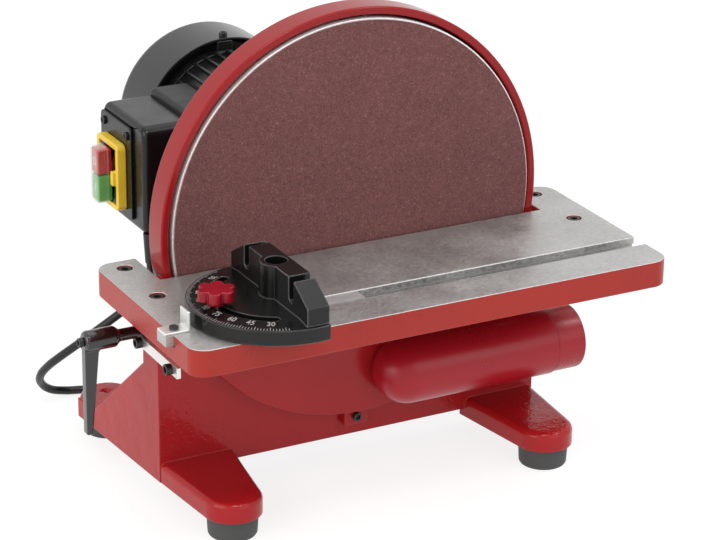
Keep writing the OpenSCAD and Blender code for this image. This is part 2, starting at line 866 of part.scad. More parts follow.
// Points of the bend at the rear edge of the fan cover, from angle a0 to a1
function cover_bend(r, a0, a1) = [
    for (i = [0:bend_steps])
        [fan_cover_d / 2 - fan_cover_bend, fan_cover_y1 - fan_cover_bend]
            + r * dir(a0 + (a1 - a0) * i / bend_steps)
];

grille_slots = 16;
grille_r0 = 22;
grille_edge = 14;
grille_w = 5;

module fan_cover() {
    cover_ri = fan_cover_d / 2 - fan_cover_t;
    color([0.2, 0.2, 0.21]) at_disc() difference() {
        turned_y(concat(
            [[0, fan_cover_y1 - fan_cover_t]], cover_bend(fan_cover_bend - fan_cover_t, 90, 0),
            [[cover_ri, fan_cover_y0]],
            [[fan_cover_d / 2, fan_cover_y0]], cover_bend(fan_cover_bend, 0, 90), [[0, fan_cover_y1]]
        ));
        for (i = [0:grille_slots - 1]) rotate([0, i * 360 / grille_slots, 0])
            block([grille_r0, cover_ri - grille_edge],
                [fan_cover_y1 - fan_cover_t - over, fan_cover_y1 + over],
                [-grille_w / 2, grille_w / 2]);
        for (a = cover_screw_a) rotate([0, a, 0])
            translate([0, (fan_cover_y0 + body_y1 + rear_bell_l) / 2, 0])
                rod_x(m4[0] + hole_room, bell_r, fan_cover_d);
    }
}

module fan_cover_screws() color([0.16, 0.16, 0.17]) at_disc() for (a = cover_screw_a) rotate([0, a, 0])
    translate([fan_cover_d / 2, (fan_cover_y0 + body_y1 + rear_bell_l) / 2, 0]) rotate([0, 90, 0])
        socket_screw(m4, fan_cover_t + body_wall);

module motor_bolts() color([0.2, 0.2, 0.21]) at_disc() for (a = [45:90:315]) rotate([0, a, 0])
    translate([motor_bolt_r, guard_floor, 0]) rotate([90, 0, 0])
        socket_screw([m6[0], m6[1], m6[2] / 2], guard_plate_t + bell_l / 2);

// Switch box and its pieces

box_in = box_x - box_d;

module switch_saddle() color([0.2, 0.2, 0.21]) at_disc() difference() {
    slab_x(-box_in, saddle_back - box_in) translate([box_y + box_w / 2, 0])
        round_rect(box_w, box_h + 2 * saddle_over, box_r);
    rod_y(2 * (fin_r + saddle_room), 0, fan_cover_y1);
}

module switch_box() color([0.12, 0.12, 0.13]) at_disc() difference() {
    slab_x(-box_x, -box_in) translate([box_y + box_w / 2, 0]) round_rect(box_w, box_h, box_r);
    slab_x(box_wall - box_x, over - box_in) translate([box_y + box_w / 2, 0])
        round_rect(box_w - 2 * box_wall, box_h - 2 * box_wall, box_r - box_wall);
    block([-box_x - over, box_wall + over - box_x],
        [switch_yc - switch_w / 2 - slide_room, switch_yc + switch_w / 2 + slide_room],
        [switch_zc - switch_h / 2 - slide_room, switch_zc + switch_h / 2 + slide_room]);
    for (s = [-1, 1]) translate([0, switch_yc + s * plate_screw_y, plate_screw_z])
        rod_x(m4[0] + hole_room, -box_x - over, box_wall + over - box_x);
}

module run_capacitor() color([0.75, 0.76, 0.77]) at_disc()
    translate([-box_in - slide_room - capacitor_d / 2, box_y + box_wall + slide_room + capacitor_d / 2, 0])
        rod_z(capacitor_d, -capacitor_l / 2, capacitor_l / 2);

module switch_plate() color([0.1, 0.1, 0.12]) at_disc() difference() {
    slab_x(-box_x - plate_th, -box_x) translate([switch_yc, 0]) round_rect(plate_w, plate_h, frame_r);
    block([-box_x - plate_th - over, over - box_x],
        [switch_yc - switch_w / 2 - slide_room, switch_yc + switch_w / 2 + slide_room],
        [switch_zc - switch_h / 2 - slide_room, switch_zc + switch_h / 2 + slide_room]);
    for (s = [-1, 1]) translate([0, switch_yc + s * plate_screw_y, plate_screw_z])
        rod_x(m4[0] + hole_room, -box_x - plate_th - over, over - box_x);
}

module plate_screws() color([0.55, 0.56, 0.58]) at_disc() for (s = [-1, 1])
    translate([-box_x - plate_th, switch_yc + s * plate_screw_y, plate_screw_z]) rotate([0, -90, 0])
        socket_screw([m4[0], m4[1], m4[2] / 2], plate_th + box_wall);

module switch_frame() color([0.9, 0.74, 0.1]) at_disc() {
    difference() {
        slab_x(-box_x - plate_th - frame_t, -box_x - plate_th) translate([switch_yc, switch_zc])
            round_rect(frame_w, frame_h, frame_r);
        slab_x(-box_x - plate_th - frame_t - over, over - box_x - plate_th) translate([switch_yc, switch_zc])
            square([frame_w - 2 * frame_wall, frame_h - 2 * frame_wall], center = true);
    }
    block([-box_x - plate_th - frame_t - tab_out, -box_x - plate_th - frame_t / 2],
        [switch_yc - frame_w / 2 + frame_wall - tab_w / 2, switch_yc - frame_w / 2 + frame_wall + tab_w / 2],
        [switch_zc - tab_h / 2, switch_zc + tab_h / 2]);
}

// Middle heights of the stop and start buttons
stop_zc = switch_zc + button_split / 2 + stop_h / 2;
start_zc = switch_zc - button_split / 2 - start_h / 2;

module button_well(zc, h) block(
    [-box_x - button_out - over, button_travel + over + button_in - box_x - plate_th],
    [switch_yc - button_w / 2 - slide_room, switch_yc + button_w / 2 + slide_room],
    [zc - h / 2 - slide_room, zc + h / 2 + slide_room]);

module switch_body() color([0.06, 0.06, 0.07]) at_disc() difference() {
    block([-box_x - plate_th - frame_t + over, switch_d - box_x],
        [switch_yc - switch_w / 2, switch_yc + switch_w / 2],
        [switch_zc - switch_h / 2, switch_zc + switch_h / 2]);
    block([-box_x - plate_th - frame_t, over / 2 - box_x - plate_th - frame_t / 2],
        [switch_yc - frame_w / 2 + frame_wall - tab_w,
         switch_yc - frame_w / 2 + frame_wall + tab_w / 2 + slide_room],
        [switch_zc - tab_h / 2 - slide_room, switch_zc + tab_h / 2 + slide_room]);
    button_well(stop_zc, stop_h);
    button_well(start_zc, start_h);
}

module button(zc, h) slab_x(-box_x - plate_th - button_out, button_in - box_x - plate_th)
    translate([switch_yc, zc]) round_rect(button_w, h, button_w / 8);

module stop_button() color([0.72, 0.08, 0.1]) at_disc() button(stop_zc, stop_h);

module start_button() color([0.1, 0.5, 0.22]) at_disc() button(start_zc, start_h);

// Table, pivots and trunnions

// Undercut below the edge beside the disc: the line that just clears the disc at full tilt
undercut_room = 0.8;
function undercut_z(y) =
    ((y - pivot_y) * cos(tilt_max) + undercut_room + pivot_y) / sin(tilt_max) - pivot_z;
function undercut_y(z) =
    ((z + pivot_z) * sin(tilt_max) - undercut_room - pivot_y) / cos(tilt_max) + pivot_y;

// Limits of the pocket rows between the ribs, in Y
pocket_rows = [
    [rib_t - table_front, -slot_y - slot_w / 2 - tee_w - rib_t],
    [-slot_y + slot_w / 2 + tee_w + rib_t, undercut_y(-table_under) - rib_t]
];
pocket_cols = 8;

module table_outline() difference() {
    translate([0, (table_back - table_front) / 2])
        round_rect(2 * table_hw, table_front + table_back, table_corner);
    translate([-notch_hw, -notch_gap]) square([2 * notch_hw, 2 * table_back]);
}

module table() {
    pocket_w = (2 * notch_hw - rib_t) / pocket_cols;
    color([0.68, 0.66, 0.66]) at_disc() difference() {
        slab_z(-table_under, -table_drop) table_outline();
        for (row = pocket_rows, i = [0:pocket_cols - 1])
            block([rib_t - notch_hw + i * pocket_w, (i + 1) * pocket_w - notch_hw], row,
                [-table_under - over, -table_drop - skin_t]);
        block([-table_hw - over, table_hw + over], [-slot_y - slot_w / 2, slot_w / 2 - slot_y],
            [-table_drop - slot_d, over - table_drop]);
        block([-table_hw - over, table_hw + over],
            [-slot_y - slot_w / 2 - tee_w / 2, slot_w / 2 + tee_w / 2 - slot_y],
            [-table_drop - slot_d, tee_h - table_drop - slot_d]);
        slab_x(-notch_hw, notch_hw) polygon([
            [over - notch_gap, -table_under - over], [over - notch_gap, undercut_z(over - notch_gap)],
            [undercut_y(-table_under - over), -table_under - over]
        ]);
        both_sides() {
            for (s = [-1, 1]) translate([-table_screw_x, table_screw_y + s * table_screw_span / 2, 0]) {
                rod_z(m6[0] + hole_room, -table_under - over, over - table_drop);
                rod_z(screw_recess_d, -table_drop - screw_recess, over - table_drop);
            }
            translate([0, pivot_y, -pivot_z])
                rod_x(pivot_d + 2 * pivot_room, -table_screw_x - slide_room, over - notch_hw);
        }
    }
}

module table_screws() color([0.3, 0.3, 0.31]) at_disc() both_sides() for (s = [-1, 1])
    translate([-table_screw_x, table_screw_y + s * table_screw_span / 2, -table_drop - screw_recess])
        socket_screw(m6, table_t - screw_recess + flange_t);

module pivot_pins() color([0.6, 0.61, 0.63]) at_disc() both_sides() translate([0, pivot_y, -pivot_z])
    rod_x(pivot_d, -table_screw_x, guard_gap / 2 - sqrt(guard_ri * guard_ri - pivot_z * pivot_z));

// Trunnion drawn on the left: a flange under the table and a plate beside the column
module trunnion(front, screws) difference() {
    union() {
        block([-table_screw_x - flange_margin, -web_in], [-web_front, web_back],
            [-table_under - flange_t, -table_under]);
        slab_x(-web_out, -web_in) polygon([
            [-front, -table_under], [-front, -strip_z - strip_h],
            [strip_back, -strip_z - strip_h], [web_back, -strip_z], [web_back, -table_under]
        ]);
    }
    translate([0, pivot_y, -pivot_z]) slab_x(-web_out - over, over - web_in)
        arc_slot(stud_r, stud_d + slot_room, stud_a - tilt_max - slot_margin, stud_a + slot_margin);
    for (s = [-1, 1]) translate([-table_screw_x, table_screw_y + s * table_screw_span / 2, 0])
        rod_z(m6[0] + hole_room, -table_under - flange_t - over, over - table_under);
    for (y = screws) translate([0, y, -strip_z - strip_h / 2])
        rod_x(m5[0] + hole_room, -web_out - over, over - web_in);
}

module trunnion_left() color([0.62, 0.13, 0.12]) at_disc() trunnion(web_front, strip_screw_y);

module trunnion_right() color([0.62, 0.13, 0.12]) at_disc()
    mirror([1, 0, 0]) trunnion(right_front, right_screw_y);

module strip(front, screws) difference() {
    block([-strip_out, -web_out], [-front, strip_back], [-strip_z - strip_h, -strip_z]);
    for (y = screws) translate([0, y, -strip_z - strip_h / 2])
        rod_x(m5[0] + hole_room, -strip_out - over, over - web_out);
}

module trunnion_strips() color([0.82, 0.83, 0.83]) at_disc() {
    strip(strip_front, strip_screw_y);
    mirror([1, 0, 0]) strip(right_front, right_screw_y);
}

module strip_screw_row(screws) for (y = screws)
    translate([-strip_out, y, -strip_z - strip_h / 2]) rotate([0, -90, 0]) socket_screw(m5, strip_t + web_t);

module strip_screws() color([0.1, 0.1, 0.11]) at_disc() {
    strip_screw_row(strip_screw_y);
    mirror([1, 0, 0]) strip_screw_row(right_screw_y);
}

// Lock studs and levers

module lock_studs() color([0.6, 0.61, 0.62]) at_disc() both_sides()
    translate([0, stud_y, -stud_z]) difference() {
    rod_x(stud_d, -stud_out, stud_in - base_hw);
    rod_x(m4[0] + 2 * run_room, -stud_out - over, 3 * m4[0] - stud_out);
}

// Lever on the left with its arm hanging, drawn about the stud axis
module lever() difference() {
    union() {
        rotate([0, -90, 0]) rotate_extrude() polygon([
            [0, web_out + lever_gap], [sleeve_d / 2, web_out + lever_gap], [sleeve_d / 2, sleeve_end],
            [hub_r, sleeve_end + hub_r / 2], [hub_r, lever_x - arm_y / 4],
            [hub_r - arm_y / 4, lever_x], [0, lever_x]
        ]);
        slab_y(-arm_y / 2, arm_y / 2) polygon([
            [-lever_x, 0], [-lever_x, -lever_l], [-lever_x + arm_x * arm_tip_share, -lever_l],
            [arm_x - lever_x, -hub_r], [arm_x - lever_x, 0]
        ]);
    }
    rod_x(stud_d + 2 * run_room, -stud_out - lever_gap, over - web_out);
    rod_x(m4[0] + hole_room, -lever_x - over, -stud_out);
}

module lever_screw() translate([-lever_x, 0, 0]) rotate([0, -90, 0])
    socket_screw(m4, lever_x - stud_out + 2 * m4[0]);

module lock_lever_left() color([0.05, 0.05, 0.06]) at_disc() translate([0, stud_y, -stud_z]) lever();

module lever_screw_left() color([0.55, 0.56, 0.58]) at_disc() translate([0, stud_y, -stud_z]) lever_screw();

// Direction of the right-hand arm: turned up to lie to the rear
right_arm_a = 90;

module lock_lever_right() color([0.05, 0.05, 0.06]) at_disc() translate([0, stud_y, -stud_z])
    rotate([right_arm_a, 0, 0]) mirror([1, 0, 0]) lever();

module lever_screw_right() color([0.55, 0.56, 0.58]) at_disc() translate([0, stud_y, -stud_z])
    mirror([1, 0, 0]) lever_screw();

// Mitre gauge

module at_gauge() at_disc() translate([-gauge_x, -slot_y, 0]) children();

module mitre_bar() color([0.8, 0.81, 0.82]) difference() {
    at_disc() block([-bar_end, bar_l - bar_end], [-slot_y - bar_w / 2, bar_w / 2 - slot_y], [bar_z0, bar_z1]);
    at_gauge() {
        rod_z(pivot_screw_d + hole_room, bar_z0 - over, bar_z1 + over);
        translate([-knob_r, 0, 0]) rod_z(knob_stud_d + 2 * run_room, bar_z0 - over, bar_z1 + over);
        translate([gauge_x - bar_end + pointer_l / 2, 0, 0])
            rod_z(m4[0] + hole_room, bar_z0 - over, bar_z1 + over);
    }
}

module mitre_head() color([0.08, 0.08, 0.09]) at_gauge() translate([0, 0, head_z]) difference() {
    union() {
        intersection() {
            rotate_extrude() polygon([[0, 0], [head_r, 0], [head_r, rim_t], [scale_r, head_t], [0, head_t]]);
            block([-head_r, fence_right], [-head_r, head_r], [0, head_t]);
        }
        slab_x(fence_right - fence_t, fence_right) polygon([
            [-fence_l / 2, 0], [fence_l / 2, 0], [fence_l / 2, fence_end_h], [fence_top_l / 2, fence_h],
            [-fence_top_l / 2, fence_h], [-fence_l / 2, fence_end_h]
        ]);
        intersection() {
            rod_z(2 * boss_r, 0, fence_h);
            block([-head_r, fence_right], [-head_r, head_r], [0, fence_h]);
        }
    }
    rod_z(pivot_screw_d + 2 * run_room, -over, fence_h);
    rod_z(counterbore_d, counterbore_h, fence_h + over);
    slab_z(-over, fence_h)
        arc_slot(knob_r, knob_slot_w, 180 - swivel_max - slot_margin, 180 + swivel_max + slot_margin);
    for (s = [-1, 1]) translate([0, s * notch_y, fence_h - fence_notch_d]) {
        rod_x(fence_notch_w, fence_right - fence_t - over, fence_right + over);
        block([fence_right - fence_t - over, fence_right + over], [-fence_notch_w / 2, fence_notch_w / 2],
            [0, fence_notch_d + over]);
    }
}

module mitre_pivot() color([0.3, 0.3, 0.31]) at_gauge()
    translate([0, 0, head_z + counterbore_h + lever_gap])
        socket_screw([pivot_screw_d, pivot_head_d, pivot_head_h],
            head_z + counterbore_h + lever_gap - bar_z0);

module mitre_knob() color([0.72, 0.06, 0.1]) at_gauge()
    translate([-knob_r, 0, head_z + head_t + slide_room]) difference() {
    union() {
        rod_z(knob_d / 2, 0, knob_foot);
        slab_z(knob_foot, knob_h) {
            circle(r = knob_d * knob_core_share);
            for (i = [0:knob_lobes - 1])
                translate(knob_d * (1 / 2 - knob_lobe_share) * dir(i * 360 / knob_lobes))
                    circle(r = knob_d * knob_lobe_share);
        }
    }
    rod_z(knob_stud_d + hole_room, -over, knob_h - knob_foot);
}

module knob_stud() color([0.7, 0.71, 0.72]) at_gauge() translate([-knob_r, 0, 0])
    rod_z(knob_stud_d, bar_z0, head_z + head_t + knob_h - knob_foot);

module mitre_pointer() color([0.84, 0.85, 0.85]) at_disc() difference() {
    union() {
        block([-bar_end, pointer_l - bar_end], [-slot_y - pointer_w / 2, pointer_w / 2 - slot_y],
            [bar_z1, bar_z1 + pointer_t]);
        block([pointer_l - pointer_t - bar_end, pointer_l - bar_end],
            [-slot_y - pointer_w / 2, pointer_w / 2 - slot_y], [bar_z1, bar_z1 + pointer_h]);
    }
    translate([pointer_l / 2 - bar_end, -slot_y, 0])
        rod_z(m4[0] + hole_room, bar_z1 - over, bar_z1 + pointer_t + over);
}

module pointer_screw() color([0.35, 0.36, 0.37]) at_disc()
    translate([pointer_l / 2 - bar_end, -slot_y, bar_z1 + pointer_t])
        socket_screw([m4[0], m4[1], m4[2] / 2], pointer_t + bar_t);

// Cord gland, cord, coil and plug

module cord_gland() color([0.07, 0.07, 0.08]) translate(gland_at)
    cylinder(d1 = gland_tip, d2 = gland_d, h = gland_l);

// Directions along a list of points, and rings of a tube about them
function step_dir(p, i) =
    let (a = p[max(i - 1, 0)], b = p[min(i + 1, len(p) - 1)])
    (b - a) / norm(b - a);
function side_of(t) = let (v = abs(t[2]) > 0.9 ? cross(t, [1, 0, 0]) : cross(t, [0, 0, 1])) v / norm(v);
// A side vector carried along the tube, so that its rings never twist
function carried(p, i, s) = let (t = step_dir(p, i), v = s - (s * t) * t) v / norm(v);
function sides_from(p, i, s) =
    i >= len(p) ? [] : let (v = carried(p, i, s)) concat([v], sides_from(p, i + 1, v));

module tube(p, d, n) {
    s = sides_from(p, 0, side_of(step_dir(p, 0)));
    points = [
        for (i = [0:len(p) - 1], k = [0:n - 1])
            p[i] + d / 2 * (cos(k * 360 / n) * s[i] + sin(k * 360 / n) * cross(step_dir(p, i), s[i]))
    ];
    last = (len(p) - 1) * n;
    walls = [
        for (i = [0:len(p) - 2], k = [0:n - 1])
            let (a = i * n + k, b = i * n + (k + 1) % n)
            each [[a, a + n, b], [b, a + n, b + n]]
    ];
    caps = [for (k = [1:n - 2]) each [[0, k, k + 1], [last, last + k + 1, last + k]]];
    polyhedron(points, concat(walls, caps));
}

module power_cord() color([0.13, 0.13, 0.14]) tube(cord_route, cord_d, cord_sides);

// Coil: in along the lower layer, up a layer where it turns back, out along the upper layer
coil_pitch = cord_d + cord_gap;
coil_total = 2 * coil_turns + 1 / 2;
function coil_radius(s) = coil_r - coil_pitch * (s < coil_total / 2 ? s : coil_total - s);
function rise(s) = let (t = min(max(2 * (s - coil_turns), 0), 1)) t * t * (3 - 2 * t);
function coil_point(s) = let (a = s * 360 - 90, r = coil_radius(s))
    [coil_c[0] + r * cos(a), coil_c[1] + r * sin(a), cord_d / 2 + coil_pitch * rise(s)];
coil_steps = round(coil_total * coil_rings);
coil_points = concat(
    [coil_point(0) - [cord_d, 0, 0]],
    [for (i = [0:coil_steps]) coil_point(i / coil_rings)],
    [coil_point(coil_total) + [coil_end / 2, 0, 0], coil_point(coil_total) + [coil_end, 0, 0]]
);
// Least gap between stretches of the coil that aren't neighbours
coil_gap = min([
    for (i = [0:len(coil_points) - 1], j = [i + 1:len(coil_points) - 1])
        if (j - i > coil_rings / 3) norm(coil_points[i] - coil_points[j])
]) - cord_d;
echo(coil_least_gap = coil_gap);

module cord_coil() color([0.13, 0.13, 0.14]) tube(coil_points, cord_d, coil_sides);

plug_start = coil_points[len(coil_points) - 1];

module at_plug() translate(plug_start) children();

module plug_body() color([0.1, 0.1, 0.11]) at_plug() {
    rotate([0, 90, 0]) cylinder(d1 = gland_tip, d2 = gland_d, h = sleeve_l);
    slab_x(sleeve_l, sleeve_l + plug_l) round_rect(plug_w, 2 * plug_start[2], frame_r);
}

module plug_pins() color([0.75, 0.72, 0.6]) at_plug() {
    for (s = [-1, 1]) translate([sleeve_l + plug_l, s * blade_span / 2, earth_drop / 2])
        block([0, pin_l], [-blade_t / 2, blade_t / 2], [-blade_w / 2, blade_w / 2]);
    translate([0, 0, -earth_drop]) rod_x(earth_d, sleeve_l + plug_l, sleeve_l + plug_l + pin_l);
}

base_casting();
rubber_feet();
foot_screws();
disc_guard();
guard_bolts();
lower_cover();
cover_rim();
dust_chute();
cover_screws();
disc_plate();
abrasive_disc();
motor_shaft();
hub_set_screw();
motor_front_bell();
motor_body();
motor_rear_bell();
front_bearing();
rear_bearing();
rotor();
stator();
windings();
cooling_fan();
fan_cover();
fan_cover_screws();
motor_bolts();
switch_saddle();
switch_box();
run_capacitor();
switch_plate();
plate_screws();
switch_frame();
switch_body();
stop_button();
start_button();
cord_gland();
power_cord();
cord_coil();
plug_body();
plug_pins();
table();
table_screws();
trunnion_left();
trunnion_right();
trunnion_strips();
strip_screws();
pivot_pins();
lock_studs();
lock_lever_left();
lock_lever_right();
lever_screw_left();
lever_screw_right();
mitre_bar();
mitre_head();
mitre_pivot();
mitre_knob();
knob_stud();
mitre_pointer();
pointer_screw();
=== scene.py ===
import math

import bmesh
import bpy
from mathutils import Matrix, Vector


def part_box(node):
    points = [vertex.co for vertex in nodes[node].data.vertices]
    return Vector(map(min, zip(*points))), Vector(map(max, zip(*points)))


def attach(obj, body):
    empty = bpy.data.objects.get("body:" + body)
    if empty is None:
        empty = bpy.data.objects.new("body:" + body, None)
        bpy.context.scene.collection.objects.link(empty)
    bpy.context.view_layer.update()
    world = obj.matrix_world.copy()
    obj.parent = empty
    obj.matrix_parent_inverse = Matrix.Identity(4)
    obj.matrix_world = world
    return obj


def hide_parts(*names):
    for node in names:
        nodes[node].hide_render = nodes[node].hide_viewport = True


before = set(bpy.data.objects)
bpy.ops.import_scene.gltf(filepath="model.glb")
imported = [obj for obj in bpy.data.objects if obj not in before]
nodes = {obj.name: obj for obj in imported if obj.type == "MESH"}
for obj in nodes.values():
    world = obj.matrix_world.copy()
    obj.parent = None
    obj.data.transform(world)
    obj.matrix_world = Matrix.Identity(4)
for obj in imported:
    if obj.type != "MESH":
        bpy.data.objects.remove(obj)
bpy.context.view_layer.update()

scene = bpy.context.scene
scene.view_settings.view_transform = "Standard"

# The view: a long lens to the operator's left and a little above the disc, from where
# the table top just opens and the motor shows behind the guard.
lens = bpy.data.cameras.new("view")
lens.lens = 139.2
lens.sensor_width = 36.0
stand = Vector((-0.93392, -1.82303, 0.97186))
aim = Vector((0.00223, -0.067, 0.1657))
lean = math.radians(0.62)
view = bpy.data.objects.new("view", lens)
view.matrix_world = (
    Matrix.Translation(stand)
    @ (aim - stand).to_track_quat("-Z", "Y").to_matrix().to_4x4()
    @ Matrix.Rotation(lean, 4, "Z")
)
scene.collection.objects.link(view)
scene.camera = view


# Power lead: round rubber-sheathed flex that leaves the sleeve under the switch box, hangs
# down beside the base and runs behind it, where the spare length lies wound in two layers.
def add(tree, kind, inputs=None, **settings):
    node = tree.nodes.new("ShaderNode" + kind)
    for key, value in settings.items():
        setattr(node, key, value)
    for key, value in (inputs or {}).items():
        if isinstance(value, bpy.types.NodeSocket):
            tree.links.new(value, node.inputs[key])
        else:
            node.inputs[key].default_value = value
    return node


def sums(tree, how, a, b):
    return add(tree, "Math", {0: a, 1: b}, operation=how).outputs[0]


def spread(tree, value, low, high, to_low=0.0, to_high=1.0):
    span = {
        "Value": value, "From Min": low, "From Max": high, "To Min": to_low, "To Max": to_high}
    return add(tree, "MapRange", span).outputs["Result"]


def mottle(tree, where, scale, detail=2.0, rough=0.5):
    noise = {"Vector": where, "Scale": scale, "Detail": detail, "Roughness": rough}
    return add(tree, "TexNoise", noise).outputs["Fac"]


def tint(tree, share, a, b, how="MIX"):
    mixed = add(tree, "Mix", {0: share, 6: a, 7: b}, data_type="RGBA", blend_type=how)
    return mixed.outputs[2]


def effect(name, **inputs):
    tree = bpy.data.node_groups.new(name, "ShaderNodeTree")
    for label, value in inputs.items():
        kind = "Float" if isinstance(value, float) else "Color" if len(value) == 4 else "Vector"
        socket = tree.interface.new_socket(
            label, in_out="INPUT", socket_type="NodeSocket" + kind)
        socket.default_value = value
    for label, kind in (("Colour", "Color"), ("Roughness", "Float"), ("Height", "Float")):
        tree.interface.new_socket(label, in_out="OUTPUT", socket_type="NodeSocket" + kind)
    given = tree.nodes.new("NodeGroupInput").outputs
    gives = tree.nodes.new("NodeGroupOutput").inputs
    return tree, given, gives


def finish(name, skin, values, relief, rounding=0.0, **constants):
    made = bpy.data.materials.new(name)
    made.use_nodes = True
    tree = made.node_tree
    shader = tree.nodes["Principled BSDF"]
    look = add(tree, "Group", values, node_tree=skin).outputs
    bump = add(tree, "Bump", {"Distance": relief, "Height": look["Height"]})
    if rounding:
        rounded = add(tree, "Bevel", {"Radius": rounding}, samples=8).outputs["Normal"]
        tree.links.new(rounded, bump.inputs["Normal"])
    tree.links.new(look["Colour"], shader.inputs["Base Color"])
    tree.links.new(look["Roughness"], shader.inputs["Roughness"])
    tree.links.new(bump.outputs["Normal"], shader.inputs["Normal"])
    for socket, value in constants.items():
        shader.inputs[socket.replace("_", " ")].default_value = value
    return made


# moulded skin: the fine grain and slow flow marks of moulded rubber and plastic
noise_band = (0.3, 0.7)
flow_scale, grain_share = 55.0, 0.35
moulded, given, gives = effect(
    "moulded skin", Colour=(0.5, 0.5, 0.5, 1), Grain=1800.0, Sheen=0.45)
where = add(moulded, "TexCoord").outputs["Object"]
grain = mottle(moulded, where, given["Grain"], 3.0, 0.6)
flow = mottle(moulded, where, flow_scale, 3.0)
shade = spread(moulded, flow, *noise_band, 0.9, 1.08)
moulded.links.new(tint(moulded, 1.0, given["Colour"], shade, "MULTIPLY"), gives["Colour"])
dull = sums(moulded, "ADD", given["Sheen"], spread(moulded, flow, *noise_band, -0.05, 0.06))
dull = sums(moulded, "ADD", dull, spread(moulded, grain, 0.35, 0.65, -0.03, 0.04))
moulded.links.new(dull, gives["Roughness"])
rise = sums(moulded, "ADD", sums(moulded, "MULTIPLY", grain, grain_share), flow)
moulded.links.new(rise, gives["Height"])

lead_d, lead_lie = 0.007, 3.5
lead_route = [
    (-113, 70, 143), (-113, 70, 129), (-116, 72, 117), (-124, 77, 109), (-134, 83, 99),
    (-144, 91, 88), (-155, 100, 76), (-165, 110, 64), (-174, 121, 52), (-180, 133, 40),
    (-182, 144, 28), (-178, 153, 17), (-169, 157, 8), (-156, 157, 4), (-142, 153, lead_lie),
    (-128, 147, lead_lie), (-114, 141, lead_lie), (-100, 134, lead_lie), (-86, 128, lead_lie),
    (-72, 121, lead_lie), (-58, 114, lead_lie), (-44, 108, lead_lie), (-30, 103, lead_lie),
    (-14, 100, lead_lie), (2, 99, lead_lie), (16, 99, lead_lie),
]
coil_middle, coil_r, coil_pitch = (23, 148), 49, 7.7
coil_layer, coil_turns, coil_steps = 2.25, 5.0, 24
tail_step = 12


def coil_point(turn):
    angle = math.radians(turn * 360 - 90)
    r = coil_r - coil_pitch * min(turn, coil_turns - turn)
    climb = min(max(2 * (turn - coil_layer), 0), 1)
    lift = coil_pitch * climb * climb * (3 - 2 * climb)
    x, y = coil_middle
    return (x + r * math.cos(angle), y + r * math.sin(angle), lead_lie + lift)


lead_route += [coil_point(i / coil_steps) for i in range(int(coil_turns * coil_steps) + 1)]
tail_x, tail_y, tail_z = coil_point(coil_turns)
lead_route += [(tail_x + i * tail_step, tail_y, tail_z) for i in (1, 2)]
lead_line = bpy.data.curves.new("power_lead", "CURVE")
lead_line.dimensions = "3D"
lead_line.bevel_depth = lead_d / 2
lead_line.bevel_resolution = 5
lead_line.resolution_u = 5
lead_line.use_fill_caps = True
run = lead_line.splines.new("BEZIER")
run.bezier_points.add(len(lead_route) - 1)
for knot, point in zip(run.bezier_points, lead_route):
    knot.co = [c / 1000 for c in point]
    knot.handle_left_type = knot.handle_right_type = "AUTO"
lead = bpy.data.objects.new("power_lead", lead_line)
scene.collection.objects.link(lead)
lead_rubber = finish(
    "lead_rubber", moulded,
    {"Colour": (0.011, 0.011, 0.012, 1), "Grain": 1500.0, "Sheen": 0.26},
    0.00004, Specular_IOR_Level=0.4)
lead_line.materials.append(lead_rubber)
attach(lead, "frame")
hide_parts("power_cord", "cord_coil")


# Tie of the coil: a short woven hook-and-loop strap wrapped once round all the turns,
# its end lapped over itself on top.
def piece(name, mesh, material, body):
    made = bpy.data.meshes.new(name)
    bmesh.ops.recalc_face_normals(mesh, faces=mesh.faces)
    mesh.to_mesh(made)
    mesh.free()
    made.shade_smooth()
    made.materials.append(material)
    held = bpy.data.objects.new(name, made)
    scene.collection.objects.link(held)
    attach(held, body)
    return held


def bridge(mesh, row, following):
    for k in range(len(row)):
        after = (k + 1) % len(row)
        mesh.faces.new((row[k], following[k], following[after], row[after]))


def strap_row(mesh, middle, side, out):
    corners = (middle - side, middle + side, middle + side + out, middle - side + out)
    return [mesh.verts.new(corner) for corner in corners]


tie_angle = math.radians(62)
tie_near, tie_far, tie_low, tie_high = 26.4, 49.6, 0.9, 14.9
tie_bend, tie_wide, tie_thick = 5.0, 11.0, 0.8
lap_narrower, lap_rest, lap_thick, lap_stops = 1.5, 1.05, 0.7, (3, 6, 7, 9)
quarter = range(0, 91, 15)
tie_out = Vector((math.cos(tie_angle), math.sin(tie_angle), 0))
tie_across = Vector((-tie_out.y, tie_out.x, 0))
tie_loop = []
for tie_r, tie_z, first in (
        (tie_far, tie_high, 0), (tie_near, tie_high, 90),
        (tie_near, tie_low, 180), (tie_far, tie_low, 270)):
    bend_r = tie_r - math.copysign(tie_bend, tie_r - (tie_near + tie_far) / 2)
    bend_z = tie_z - math.copysign(tie_bend, tie_z - (tie_low + tie_high) / 2)
    for step in quarter:
        angle = math.radians(first + step)
        spot = tie_out * (bend_r + tie_bend * math.cos(angle))
        spot += Vector((*coil_middle, bend_z + tie_bend * math.sin(angle)))
        tie_loop.append(spot / 1000)
tie_mesh = bmesh.new()
tie_rows = []
for i, spot in enumerate(tie_loop):
    along = (tie_loop[(i + 1) % len(tie_loop)] - tie_loop[i - 1]).normalized()
    out = along.cross(tie_across).normalized() * -tie_thick / 1000
    tie_rows.append(strap_row(tie_mesh, spot, tie_across * tie_wide / 2000, out))
for row, following in zip(tie_rows, tie_rows[1:] + tie_rows[:1]):
    bridge(tie_mesh, row, following)
lap_side = tie_across * (tie_wide - lap_narrower) / 2000
lap_lift = Vector((0, 0, tie_thick * lap_rest / 1000))
lap_out = Vector((0, 0, lap_thick / 1000))
lap_rows = [
    strap_row(tie_mesh, tie_loop[i] + lap_lift, lap_side, lap_out) for i in lap_stops]
for row, following in zip(lap_rows, lap_rows[1:]):
    bridge(tie_mesh, row, following)
tie_mesh.faces.new(lap_rows[0])
